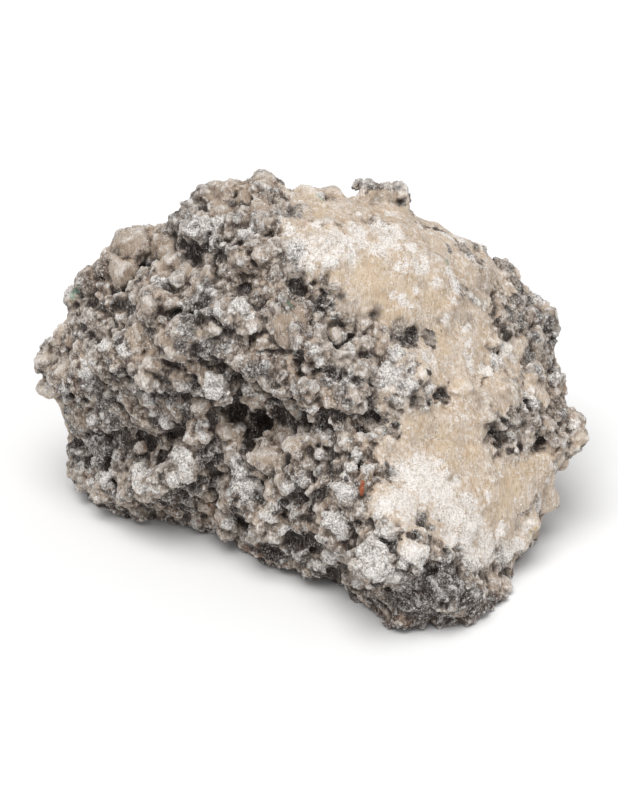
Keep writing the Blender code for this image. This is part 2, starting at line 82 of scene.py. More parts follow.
# What is seen where: (pixels across, pixels down, radius in pixels) in the 618 x 800 picture
seen = {
    # Smooth pale crust with a fine sandy grain
    "crust": [
        (300, 195, 18), (325, 212, 28), (355, 205, 24), (385, 212, 26), (300, 228, 20), (330, 240, 26),
        (365, 240, 30), (410, 235, 28), (445, 245, 26), (312, 262, 15), (350, 268, 26), (390, 270, 36),
        (435, 275, 34), (465, 270, 20), (372, 300, 28), (410, 310, 34), (450, 310, 34), (480, 290, 18),
        (478, 325, 20), (352, 312, 12), (440, 345, 34), (468, 350, 26), (410, 362, 28), (384, 370, 16),
        (395, 395, 24), (440, 385, 30), (470, 385, 28), (500, 385, 22), (512, 360, 16), (508, 402, 16),
        (440, 420, 30), (475, 425, 26), (410, 435, 22), (392, 455, 16), (430, 460, 40), (470, 465, 36),
        (520, 480, 34), (500, 510, 34), (540, 470, 20), (545, 495, 16), (470, 510, 36), (440, 500, 30),
        (405, 500, 30), (388, 495, 16), (480, 540, 28), (515, 535, 24), (445, 530, 20), (412, 548, 14),
        (325, 186, 12), (345, 190, 14), (372, 203, 14), (405, 212, 16), (425, 220, 16), (450, 233, 16),
        (475, 250, 24), (492, 266, 22), (508, 284, 14), (562, 460, 16), (556, 480, 18), (548, 502, 18),
        (540, 524, 18), (529, 547, 18), (515, 570, 16), (530, 385, 14), (540, 365, 12), (545, 395, 12),
        (430, 220, 22), (455, 234, 24), (400, 208, 18), (565, 478, 14), (556, 500, 14),
        (520, 345, 12), (490, 330, 16), (583, 440, 8),
    ],
    # Gaps in the crust where knobs show
    "bare": [
        (355, 325, 12), (375, 328, 12), (395, 335, 12), (412, 338, 10), (430, 342, 8), (345, 318, 8),
        (440, 395, 10), (430, 400, 8), (418, 402, 6), (505, 430, 14), (520, 435, 14), (540, 430, 10),
        (515, 420, 10), (500, 446, 8), (422, 523, 7), (415, 536, 7), (431, 541, 6), (446, 551, 7),
        (395, 428, 8), (505, 320, 10), (498, 333, 8), (515, 310, 8), (478, 250, 5), (365, 385, 10),
        (370, 470, 10), (420, 575, 12), (450, 570, 12), (470, 585, 10), (400, 585, 12), (388, 470, 5),
        (395, 350, 12), (390, 372, 14), (405, 386, 12), (410, 364, 10), (398, 402, 8), (382, 352, 8),
    ],
    # Golden stain in the crust
    "gold": [
        (385, 290, 22), (365, 275, 14), (430, 300, 14), (345, 250, 10), (320, 215, 10), (335, 228, 8),
        (515, 485, 20), (505, 510, 16), (530, 470, 12), (440, 440, 14), (420, 430, 10), (470, 450, 10),
        (440, 345, 12), (372, 245, 8), (410, 285, 12), (375, 262, 12), (400, 315, 10), (490, 490, 12),
        (480, 520, 8), (455, 465, 10), (335, 275, 8), (460, 385, 9), (545, 450, 9), (440, 470, 8),
    ],
    # Bare grey-brown stone, smooth
    "taupe": [
        (485, 285, 12), (480, 300, 10), (493, 272, 8), (535, 360, 12), (540, 375, 10), (510, 400, 10),
        (500, 450, 13), (515, 455, 10), (525, 455, 8), (455, 235, 7), (505, 318, 8), (498, 330, 7),
        (470, 320, 8), (375, 310, 8), (350, 305, 7), (440, 320, 9), (395, 325, 9), (420, 330, 8),
        (355, 315, 6), (480, 400, 8), (505, 380, 8), (530, 345, 8), (460, 300, 6), (300, 205, 6),
        (285, 240, 6), (545, 410, 7), (560, 440, 6), (440, 255, 5), (425, 410, 6), (400, 410, 5),
    ],
    # White sugary frost
    "frost": [
        (322, 195, 6), (290, 230, 7), (281, 217, 3), (318, 223, 5), (303, 243, 10), (300, 255, 14),
        (320, 255, 14), (312, 268, 8), (340, 248, 8), (337, 233, 9), (355, 230, 9), (388, 240, 10),
        (380, 250, 9), (404, 266, 8), (415, 262, 5), (450, 272, 8), (455, 284, 8), (462, 240, 9),
        (448, 236, 8), (402, 298, 5), (393, 293, 4), (388, 214, 6), (420, 227, 6), (485, 306, 5),
        (465, 328, 5), (466, 344, 6), (470, 366, 7), (495, 364, 9), (505, 350, 9), (513, 357, 8),
        (487, 372, 8), (535, 403, 9), (533, 390, 5), (395, 350, 9), (392, 375, 11), (405, 385, 9),
        (433, 388, 7), (410, 370, 8), (425, 355, 5), (400, 400, 7), (385, 365, 8), (432, 360, 6),
        (400, 470, 14), (415, 480, 16), (430, 475, 16), (405, 500, 18), (388, 505, 12), (378, 515, 8),
        (445, 495, 16), (455, 515, 18), (470, 530, 20), (450, 540, 12), (490, 545, 18), (505, 555, 14),
        (475, 560, 14), (520, 545, 12), (530, 525, 9), (540, 505, 8), (548, 480, 6), (555, 465, 5),
        (415, 550, 12), (428, 555, 10), (405, 560, 9), (440, 478, 14), (465, 500, 12), (488, 497, 6),
        (385, 545, 12), (370, 555, 15), (360, 550, 9), (385, 565, 12), (392, 578, 9), (398, 572, 6),
        (358, 583, 6), (375, 572, 10), (335, 520, 12), (325, 515, 8), (340, 535, 8), (346, 492, 9),
        (337, 488, 7), (352, 497, 6), (357, 455, 6), (350, 467, 6), (366, 470, 4), (363, 508, 4),
        (345, 475, 5), (320, 455, 4), (328, 560, 8), (340, 555, 6), (318, 565, 5), (240, 470, 10),
        (250, 480, 11), (245, 487, 8), (232, 462, 6), (252, 492, 6), (180, 455, 10), (185, 468, 11),
        (175, 478, 10), (190, 478, 8), (182, 487, 6), (198, 480, 5), (137, 470, 9), (135, 482, 8),
        (141, 492, 6), (153, 490, 7), (230, 523, 8), (236, 515, 6), (270, 520, 9), (283, 530, 8),
        (278, 508, 8), (262, 500, 6), (290, 508, 5), (284, 488, 8), (295, 483, 6), (305, 478, 5),
        (300, 490, 5), (104, 478, 8), (110, 485, 5), (90, 482, 6), (95, 498, 4), (123, 498, 5),
        (212, 535, 5), (90, 468, 5), (92, 420, 8), (96, 430, 4), (105, 345, 7), (125, 353, 8),
        (120, 316, 5), (86, 365, 7), (85, 378, 5), (147, 395, 6), (150, 405, 6), (158, 385, 5),
        (163, 424, 8), (153, 413, 5), (120, 395, 5), (118, 380, 3), (205, 225, 12), (193, 228, 8),
        (215, 222, 8), (208, 236, 8), (180, 232, 4), (245, 233, 8), (252, 230, 4), (224, 244, 4),
        (160, 280, 7), (165, 285, 6), (148, 262, 5), (135, 308, 6), (240, 305, 8), (232, 310, 6),
        (248, 318, 5), (254, 329, 3), (200, 288, 5), (212, 290, 5), (218, 311, 4), (182, 305, 4),
        (210, 378, 8), (215, 390, 9), (207, 388, 6), (222, 395, 7), (248, 389, 5), (253, 395, 4),
        (262, 398, 4), (203, 436, 5), (316, 350, 7), (310, 335, 5), (320, 360, 5), (293, 388, 5),
        (345, 335, 5), (352, 345, 4), (262, 352, 4), (242, 360, 4), (315, 410, 5), (308, 412, 4),
        (300, 415, 4), (327, 437, 5), (330, 443, 4), (320, 432, 4), (255, 412, 4), (507, 282, 5),
        (575, 425, 5), (554, 375, 6), (512, 434, 4), (500, 475, 4), (515, 500, 4),
        (360, 236, 12), (345, 240, 12), (372, 226, 8), (398, 232, 8), (330, 262, 10), (352, 258, 8),
        (412, 245, 7), (425, 262, 7), (438, 282, 7), (455, 300, 6), (470, 258, 6), (475, 300, 5),
        (385, 225, 7), (415, 290, 6), (448, 318, 6), (420, 270, 6), (440, 510, 12), (465, 550, 10),
        (500, 530, 8), (425, 495, 12), (415, 462, 9), (440, 462, 7), (456, 480, 8), (478, 520, 8),
    ],
    # Charcoal and blue-grey druse
    "charcoal": [
        (95, 440, 16), (75, 455, 12), (105, 455, 14), (115, 440, 10), (80, 460, 8), (90, 378, 9),
        (70, 425, 14), (82, 440, 14), (104, 405, 10), (112, 424, 11), (92, 462, 14), (66, 408, 9),
        (78, 405, 8), (432, 527, 4), (440, 520, 3), (447, 551, 6), (428, 545, 5),
        (225, 345, 7), (170, 400, 8), (190, 385, 7), (185, 410, 7), (230, 375, 6), (275, 400, 6),
        (205, 462, 7), (95, 388, 8), (110, 362, 6), (120, 340, 7), (70, 375, 5), (70, 395, 9), (60, 388, 6),
        (205, 345, 10), (185, 330, 8), (180, 345, 8), (200, 300, 13), (215, 315, 7), (195, 320, 8),
        (205, 285, 8), (185, 315, 8), (215, 242, 8), (200, 250, 10), (225, 250, 6), (215, 455, 9),
        (205, 450, 8), (250, 370, 9), (265, 365, 7), (335, 375, 9), (345, 380, 8), (325, 378, 6),
        (355, 378, 5), (300, 355, 6), (350, 402, 5), (230, 485, 9), (215, 480, 8), (170, 500, 10),
        (185, 500, 8), (190, 512, 6), (115, 495, 7), (130, 490, 5), (245, 500, 9), (255, 495, 5),
        (290, 545, 9), (300, 560, 11), (285, 560, 8), (318, 470, 7), (424, 518, 5), (418, 536, 5),
        (430, 585, 18), (445, 590, 16), (410, 590, 16), (425, 600, 16), (460, 600, 14), (480, 595, 9),
        (400, 605, 12), (445, 570, 12), (460, 580, 10), (470, 610, 12), (490, 600, 7), (440, 615, 12),
        (550, 325, 9), (540, 315, 10), (530, 300, 8), (553, 340, 8), (545, 345, 6), (520, 292, 7),
        (403, 200, 6), (398, 188, 4), (372, 186, 4), (485, 250, 5), (495, 257, 5),
        (475, 243, 4), (510, 312, 7), (520, 320, 7), (535, 335, 7), (530, 355, 8), (540, 370, 7),
        (565, 415, 6), (430, 402, 5), (440, 396, 5), (410, 333, 5), (400, 338, 5), (395, 425, 6),
        (385, 430, 5), (320, 310, 8), (330, 302, 6), (335, 318, 6), (450, 250, 4), (490, 430, 4),
    ],
    # Smooth honey-grey balls
    "tan": [
        (130, 238, 16), (118, 270, 17), (148, 303, 11), (135, 330, 9), (140, 345, 7), (147, 362, 12),
        (168, 350, 7), (155, 368, 10), (160, 247, 12), (165, 265, 13), (150, 300, 8), (190, 267, 9),
        (265, 178, 12), (215, 190, 12), (245, 195, 13), (260, 205, 11), (225, 207, 12), (330, 330, 8),
        (338, 335, 7), (300, 375, 8), (225, 432, 11), (235, 438, 9), (142, 448, 8), (205, 510, 10),
        (215, 518, 8), (208, 368, 9), (60, 370, 7), (70, 340, 7), (68, 300, 6), (545, 450, 9),
        (560, 432, 7), (548, 420, 5), (205, 410, 9), (195, 400, 7), (265, 455, 12), (290, 445, 10),
        (50, 390, 6), (270, 300, 9), (300, 312, 10), (280, 322, 9), (285, 345, 8), (310, 445, 6),
        (578, 418, 10), (583, 440, 12), (574, 456, 9), (556, 422, 6), (150, 350, 12), (165, 340, 9),
    ],
    # Rusty stain
    "rust": [
        (107, 510, 7), (135, 507, 7), (175, 514, 7), (255, 555, 10), (262, 545, 7), (245, 545, 6),
        (270, 565, 6), (140, 448, 7), (205, 507, 8), (395, 615, 8), (405, 625, 6), (235, 540, 6),
        (200, 525, 6), (285, 570, 5),
    ],
    # Brown stone, broken off nearly flat
    "broken": [
        (112, 512, 9), (135, 518, 9), (160, 522, 9), (185, 528, 9), (210, 538, 10), (235, 548, 10),
        (258, 560, 10), (280, 569, 10), (305, 579, 10), (330, 588, 10), (352, 597, 10), (375, 606, 12),
        (395, 612, 14), (415, 618, 14), (440, 620, 16), (465, 622, 16), (488, 615, 14), (500, 600, 12),
        (420, 598, 14), (445, 602, 16), (470, 600, 14), (405, 600, 10), (455, 585, 9), (435, 588, 9),
    ],
    # Tiny green and yellow specks
    "green": [
        (75, 290, 5), (72, 297, 4), (80, 286, 4), (320, 197, 4), (324, 200, 3), (288, 303, 4), (447, 261, 4),
    ],
    "yellow": [(393, 346, 4), (530, 533, 4), (536, 528, 3)],
    # Clefts and hollows in shadow
    "hollow": [
        (92, 307, 7), (103, 309, 6), (118, 307, 6), (130, 309, 6), (85, 330, 5), (92, 336, 5),
        (240, 412, 9), (262, 424, 10), (280, 416, 9), (305, 420, 9), (325, 424, 9), (250, 446, 8),
        (172, 434, 8), (186, 430, 7), (75, 440, 7), (88, 462, 7), (108, 462, 8), (124, 440, 7),
        (222, 366, 8), (195, 350, 7), (212, 400, 7), (150, 445, 7), (160, 460, 6), (296, 540, 9),
        (318, 548, 8), (270, 552, 9), (232, 508, 7), (192, 486, 7), (200, 320, 8), (190, 252, 8),
        (182, 242, 6), (195, 248, 8), (208, 250, 7), (222, 257, 5), (290, 283, 4), (305, 292, 6),
        (299, 295, 5), (315, 283, 4), (247, 286, 5), (200, 306, 5), (222, 325, 4), (229, 333, 4),
        (215, 362, 6), (224, 366, 5), (232, 410, 6), (241, 407, 6), (262, 416, 9), (276, 412, 8),
        (255, 436, 8), (290, 421, 6), (322, 415, 7), (338, 418, 7), (301, 398, 4), (285, 380, 4),
        (279, 386, 4), (300, 355, 5), (340, 376, 5), (331, 372, 3), (354, 381, 4), (362, 431, 6),
        (186, 419, 7), (178, 427, 5), (165, 433, 4), (155, 446, 4), (112, 375, 4), (118, 381, 3),
        (75, 396, 5), (85, 400, 5), (111, 441, 4), (127, 450, 5), (126, 430, 4), (160, 476, 4),
        (200, 482, 6), (207, 478, 4), (216, 458, 5), (250, 441, 7), (245, 450, 5), (300, 499, 9),
        (318, 495, 9), (285, 502, 6), (312, 510, 7), (310, 541, 7), (303, 535, 4), (331, 475, 6),
        (345, 479, 3), (375, 475, 4), (421, 525, 4), (415, 536, 6), (429, 540, 4), (445, 550, 4),
        (331, 576, 7), (375, 585, 5), (391, 591, 7), (410, 573, 4), (445, 605, 5), (456, 577, 4),
        (249, 546, 6), (260, 551, 5), (500, 446, 4), (510, 451, 5), (521, 447, 4), (535, 448, 5),
        (504, 421, 4), (541, 441, 4), (401, 339, 4), (412, 334, 5), (446, 395, 3), (436, 399, 4),
        (429, 404, 3), (396, 426, 4), (384, 421, 4), (430, 374, 3), (498, 321, 4), (504, 327, 4),
        (548, 331, 4), (552, 337, 4), (520, 297, 4), (400, 200, 4), (320, 300, 6), (68, 385, 4),
        (140, 280, 4), (150, 330, 4), (170, 470, 3), (150, 505, 4), (270, 545, 5), (235, 500, 5),
    ],
}

# Lumps that are picked out one by one: (across, down, radius, rise), rise 1 is a half ball
pickedLumps = [
    (135, 247, 20, 1.1), (120, 271, 19, 1.05), (148, 303, 11, 1.1), (162, 250, 12, 0.6), (160, 280, 9, 1.0),
    (265, 181, 14, 0.9), (250, 187, 10, 0.9), (279, 190, 10, 0.8), (262, 192, 12, 0.8), (238, 187, 8, 0.8),
    (215, 190, 13, 0.7), (245, 198, 12, 0.6), (222, 208, 9, 0.8), (205, 224, 10, 1.0),
    (190, 228, 8, 1.0), (218, 220, 8, 0.9), (245, 233, 9, 1.1), (224, 244, 4, 1.3), (203, 288, 9, 1.0),
    (212, 292, 8, 1.0), (186, 306, 9, 1.0), (205, 314, 7, 1.1), (218, 310, 7, 1.1), (240, 307, 12, 1.0),
    (250, 325, 7, 1.0), (180, 335, 10, 1.0), (213, 330, 7, 1.1), (208, 345, 9, 0.9), (228, 345, 8, 0.9),
    (70, 300, 8, 0.9), (75, 335, 9, 0.9), (70, 320, 7, 0.9), (105, 347, 9, 0.9), (124, 353, 9, 0.9),
    (85, 368, 13, 0.9), (60, 370, 9, 1.0), (50, 390, 10, 1.0), (140, 335, 12, 0.9), (120, 335, 8, 1.0),
    (118, 317, 7, 1.0), (125, 385, 10, 0.9), (147, 400, 10, 0.9), (160, 388, 8, 0.8), (165, 425, 9, 1.0),
    (140, 412, 11, 0.8), (92, 420, 9, 1.1), (80, 420, 6, 1.0), (100, 440, 9, 0.8), (78, 452, 9, 0.8),
    (215, 386, 14, 1.2), (198, 372, 9, 0.8), (240, 362, 10, 0.8), (250, 390, 8, 1.1), (262, 397, 6, 1.1),
    (253, 412, 5, 1.0), (265, 365, 8, 0.8), (275, 390, 7, 0.9), (293, 380, 9, 1.0), (304, 382, 7, 0.9),
    (288, 405, 7, 1.1), (301, 405, 7, 1.1), (315, 410, 7, 1.1), (330, 402, 7, 0.9), (345, 405, 9, 1.0),
    (362, 407, 7, 0.9), (352, 398, 7, 0.8), (330, 385, 7, 0.8), (338, 335, 11, 0.9), (350, 350, 9, 0.7),
    (316, 348, 10, 0.8), (300, 340, 8, 0.8), (325, 362, 8, 0.8), (310, 368, 7, 0.8), (285, 340, 9, 0.5),
    (240, 430, 9, 1.0), (225, 432, 10, 0.9), (205, 438, 7, 1.0), (200, 408, 10, 0.7), (183, 455, 13, 1.1),
    (188, 472, 11, 1.0), (173, 478, 8, 1.1), (137, 470, 9, 1.1), (138, 485, 8, 1.1), (153, 488, 8, 1.1),
    (142, 448, 9, 0.9), (155, 455, 7, 0.8), (104, 477, 9, 1.1), (90, 482, 7, 1.0), (120, 478, 8, 0.9),
    (95, 500, 7, 0.9), (125, 497, 8, 0.9), (110, 508, 7, 0.8), (210, 505, 10, 0.9), (190, 503, 8, 0.9),
    (175, 500, 8, 0.8), (197, 522, 7, 0.8), (230, 522, 10, 1.0), (213, 535, 6, 0.9), (225, 500, 7, 0.8),
    (240, 472, 10, 0.9), (250, 485, 9, 0.9), (268, 515, 10, 0.9), (285, 528, 9, 1.0), (276, 505, 8, 0.9),
    (288, 488, 8, 0.9), (303, 480, 7, 1.0), (294, 512, 6, 0.9), (333, 520, 13, 1.2), (340, 530, 10, 1.1),
    (346, 492, 9, 1.1), (337, 487, 7, 1.1), (357, 455, 6, 1.3), (348, 465, 6, 1.1), (366, 468, 5, 1.1),
    (320, 455, 6, 1.1), (318, 470, 6, 0.9), (362, 440, 7, 0.9), (348, 445, 7, 0.9), (380, 428, 7, 1.1),
    (325, 437, 8, 0.8), (310, 440, 7, 0.7), (300, 430, 7, 0.7), (345, 437, 7, 0.7), (330, 557, 11, 0.9),
    (300, 555, 9, 0.9), (285, 562, 9, 0.8), (364, 550, 8, 0.8), (374, 563, 7, 0.8), (388, 565, 9, 0.8),
    (393, 580, 7, 1.1), (358, 583, 7, 0.9), (345, 575, 6, 0.9), (410, 555, 9, 0.5), (425, 552, 8, 0.4),
    (380, 515, 8, 0.7), (372, 500, 7, 0.7), (360, 508, 6, 0.9), (395, 352, 10, 0.8), (393, 375, 11, 0.8),
    (408, 362, 9, 0.6),
    (410, 388, 9, 0.8), (432, 388, 7, 0.9), (435, 360, 7, 0.6), (425, 350, 6, 0.6), (400, 402, 7, 0.5),
    (440, 415, 9, 0.5), (505, 352, 14, 0.7), (512, 358, 10, 0.6), (535, 405, 10, 0.9), (531, 390, 8, 0.8),
    (508, 285, 9, 0.7), (512, 308, 6, 0.8), (522, 325, 7, 0.8), (530, 312, 7, 0.8), (545, 318, 7, 0.9),
    (552, 333, 7, 0.9), (555, 378, 10, 0.7), (562, 417, 8, 1.1), (510, 433, 8, 1.0),
    (528, 430, 9, 1.0), (535, 422, 5, 1.1), (550, 440, 9, 0.9), (516, 418, 6, 0.8), (576, 436, 14, 0.8),
    (400, 192, 9, 1.0), (388, 188, 8, 1.0), (372, 186, 8, 1.0), (360, 184, 7, 1.0),
    (276, 187, 11, 1.2), (268, 182, 11, 1.2), (205, 197, 12, 1.0), (190, 209, 11, 1.0), (175, 221, 10, 1.0),
    (228, 189, 10, 1.0), (574, 420, 12, 1.1), (536, 301, 9, 1.1), (43, 358, 9, 1.1),
    (50, 346, 8, 1.0), (290, 196, 9, 0.9), (300, 190, 8, 0.9),
]

# Spots at the outline where nothing stands out: (across, down, radius)
clearSpots = [(116, 224, 14), (98, 259, 6), (158, 220, 5), (560, 290, 6), (508, 590, 9), (590, 462, 9)]


def pixelRay(across, down):
    width, height = shot["picture"]
    right, up = across - width / 2, height / 2 - down
    spot = target + pictureRight * right * pixelSize + pictureUp * up * pixelSize
    return eye, (spot - eye).normalized()


stoneReach, rayStep = 50 * mm, 2 * mm  # where a ray that misses the stone looks for the nearest of it


def onStone(tree, across, down):  # the spot of stone under that pixel, or the nearest beside it
    start, way = pixelRay(across, down)
    hit, normal, _, _ = tree.ray_cast(start, way)
    if hit is not None:
        return hit, normal
    near = None
    for step in np.arange(-stoneReach, stoneReach, rayStep):
        point = start + way * (shot["eyeDistance"] + step)
        found, normal, _, gap = tree.find_nearest(point)
        if near is None or gap < near[0]:
            near = (gap, found, normal)
    return near[1], near[2]


def arraysOf(mesh):
    corners = np.empty(len(mesh.vertices) * 3, np.float32)
    mesh.vertices.foreach_get("co", corners)
    mesh.calc_loop_triangles()
    faces = np.empty(len(mesh.loop_triangles) * 3, np.int32)
    mesh.loop_triangles.foreach_get("vertices", faces)
    return corners.reshape(-1, 3).astype(float), faces.reshape(-1, 3)


def meshFrom(name, corners, faces):
    faces = np.asarray(faces, np.int32)
    sides = faces.shape[1]
    mesh = bpy.data.meshes.new(name)
    mesh.vertices.add(len(corners))
    mesh.vertices.foreach_set("co", np.asarray(corners, np.float32).ravel())
    mesh.loops.add(faces.size)
    mesh.loops.foreach_set("vertex_index", faces.ravel())
    mesh.polygons.add(len(faces))
    mesh.polygons.foreach_set("loop_start", np.arange(0, faces.size, sides, dtype=np.int32))
    mesh.update(calc_edges=True)
    mesh.validate()
    return mesh


def pieceFrom(name, mesh):
    piece = bpy.data.objects.new(name, mesh)
    bpy.context.scene.collection.objects.link(piece)
    return piece


def evaluated(piece):
    graph = bpy.context.evaluated_depsgraph_get()
    return bpy.data.meshes.new_from_object(piece.evaluated_get(graph))


def inOrder(corners, faces):  # the same order each run, in whatever order the remesh gave them
    rank = np.lexsort(corners.T)
    place = np.empty(len(corners), np.int64)
    place[rank] = np.arange(len(corners))
    faces = place[faces]
    turn = faces.argmin(axis=1)[:, None] + np.arange(faces.shape[1])
    faces = np.take_along_axis(faces, turn % faces.shape[1], axis=1)
    return corners[rank], faces[np.lexsort(faces.T)]


def ballForm(cuts):
    ball = bmesh.new()
    bmesh.ops.create_icosphere(ball, subdivisions=cuts, radius=1.0)
    corners = np.array([v.co for v in ball.verts])
    faces = np.array([[v.index for v in f.verts] for f in ball.faces])
    ball.free()
    return corners, faces


bulges = {
    "forms": 10,
    "swells": ((1.4, 1.0), (3.1, 0.5)),  # how often over a radius, and how strongly
    "step": (7.3, 3.1, 5.7),  # through the noise from one form to the next
}


def lumpyForms(cuts, unevenness):  # balls that bulge here and there
    corners, faces = ballForm(cuts)
    forms = []
    for number in range(bulges["forms"]):
        shift = Vector([number * step for step in bulges["step"]])
        swell = 0
        for often, share in bulges["swells"]:
            swell = swell + share * np.array([noise.noise(Vector(c) * often + shift) for c in corners])
        forms.append(corners * (1 + unevenness * swell)[:, None])
    return forms, faces


def randomTurns(count, lean):  # one rotation matrix each, all nearly upright where lean is small
    q = dice.normal(size=(count, 4)) * np.array([1, lean, lean, 1])
    q /= np.linalg.norm(q, axis=1)[:, None]
    w, x, y, z = q.T
    rows = [
        1 - 2 * (y * y + z * z), 2 * (x * y - z * w), 2 * (x * z + y * w),
        2 * (x * y + z * w), 1 - 2 * (x * x + z * z), 2 * (y * z - x * w),
        2 * (x * z - y * w), 2 * (y * z + x * w), 1 - 2 * (x * x + y * y),
    ]
    return np.stack(rows, axis=1).reshape(-1, 3, 3)


def scatterForms(forms, faces, middles, sizes, lean=1.0):  # one joined mesh and each corner's own copy
    turns = randomTurns(len(middles), lean)
    pick = dice.integers(0, len(forms), len(middles))
    shapes = np.stack(forms)[pick] * sizes[:, None, :]
    corners = np.einsum("nij,nvj->nvi", turns, shapes) + middles[:, None, :]
    each = corners.shape[1]
    allFaces = faces[None] + (np.arange(len(middles)) * each)[:, None, None]
    owner = np.repeat(np.arange(len(middles)), each)
    return corners.reshape(-1, 3), allFaces.reshape(-1, faces.shape[1]), owner


def edgesOf(faces):
    sides = faces.shape[1]
    pairs = np.concatenate([faces[:, [k, (k + 1) % sides]] for k in range(sides)])
    return np.unique(np.sort(pairs, axis=1), axis=0)


def relax(corners, edges, rounds, share):
    count = len(corners)
    a, b = edges.T
    links = np.bincount(a, minlength=count) + np.bincount(b, minlength=count)
    for _ in range(rounds):
        total = np.empty_like(corners)
        for axis in range(corners.shape[1]):
            total[:, axis] = np.bincount(a, corners[b, axis], count) + np.bincount(b, corners[a, axis], count)
        corners = corners + share * (total / np.maximum(links, 1)[:, None] - corners)
    return corners


def cornerNormals(corners, faces):
    if faces.shape[1] == 4:
        faces = np.concatenate([faces[:, :3], faces[:, [0, 2, 3]]])
    a, b, c = (corners[faces[:, k]] for k in range(3))
    cross = np.cross(b - a, c - a)
    normals = np.zeros_like(corners)
    for k in range(3):
        for axis in range(3):
            normals[:, axis] += np.bincount(faces[:, k], cross[:, axis], len(corners))
    return normals / np.maximum(np.linalg.norm(normals, axis=1), 1e-12)[:, None]


def spreadOver(corners, faces, count):  # random spots on the faces, each as likely as its area
    a, b, c = (corners[faces[:, k]] for k in range(3))
    cross = np.cross(b - a, c - a)
    area = np.linalg.norm(cross, axis=1)
    pick = np.searchsorted(np.cumsum(area), dice.random(count) * area.sum())
    pick = np.minimum(pick, len(faces) - 1)
    u, v = np.sqrt(dice.random(count)), dice.random(count)
    spots = a[pick] * (1 - u)[:, None] + b[pick] * (u * (1 - v))[:, None] + c[pick] * (u * v)[:, None]
    return spots, cross[pick] / np.maximum(area[pick], 1e-12)[:, None], pick


def noiseAt(spots, size, shift=0.0):  # smooth noise from about -0.7 to 0.7 with lumps of that size in mm
    scaled = spots / (size * mm) + shift
    return np.array([noise.noise(Vector(p)) for p in scaled])


def softStep(value, low, high):
    t = np.clip((value - low) / (high - low), 0, 1)
    return t * t * (3 - 2 * t)


def squaredGaps(spots, centres):  # no matrix product, whose last digits vary from run to run
    return sum((spots[:, None, axis] - centres[None, :, axis]) ** 2 for axis in range(3))


batch = 4000  # spots worked on at once
markReach = 1.4  # radii at which a mark has faded out
patchRim = (0.1, 0.6)  # nearness over which a patch sets in


def nearness(spots, centres, radii):  # 1 at the middle of any patch, 0 outside them all
    most = np.zeros(len(spots))
    for start in range(0, len(spots), batch):
        away = np.sqrt(squaredGaps(spots[start:start + batch], centres)) / radii
        most[start:start + batch] = np.clip(markReach - away.min(1), 0, 1)
    return most


def grainsAt(spots, size):  # height of rounded grains of that size in mm
    places = spots / (size * mm) + grainTable["shift"]
    cell = np.floor(places).astype(np.int64)
    nearest = np.full(len(spots), np.inf)
    for step in np.ndindex(3, 3, 3):
        other = cell + np.array(step) - 1
        pick = np.abs(other @ grainTable["mix"]) % len(grainTable["jitter"])
        away = ((other + grainTable["jitter"][pick] - places) ** 2).sum(1)
        nearest = np.minimum(nearest, away)
    return np.clip(1 - nearest / grainTable["reach"], 0, 1)


grainTable = {
    "mix": np.array([7919, 104729, 1299709]),  # primes that spread the cells over the table
    "jitter": dice.random((8192, 3)),
    "reach": 0.55,  # squared, in cells
    "shift": 5.0,
}
dice.random(8192)  # passed over, so that the draws below stay as they are

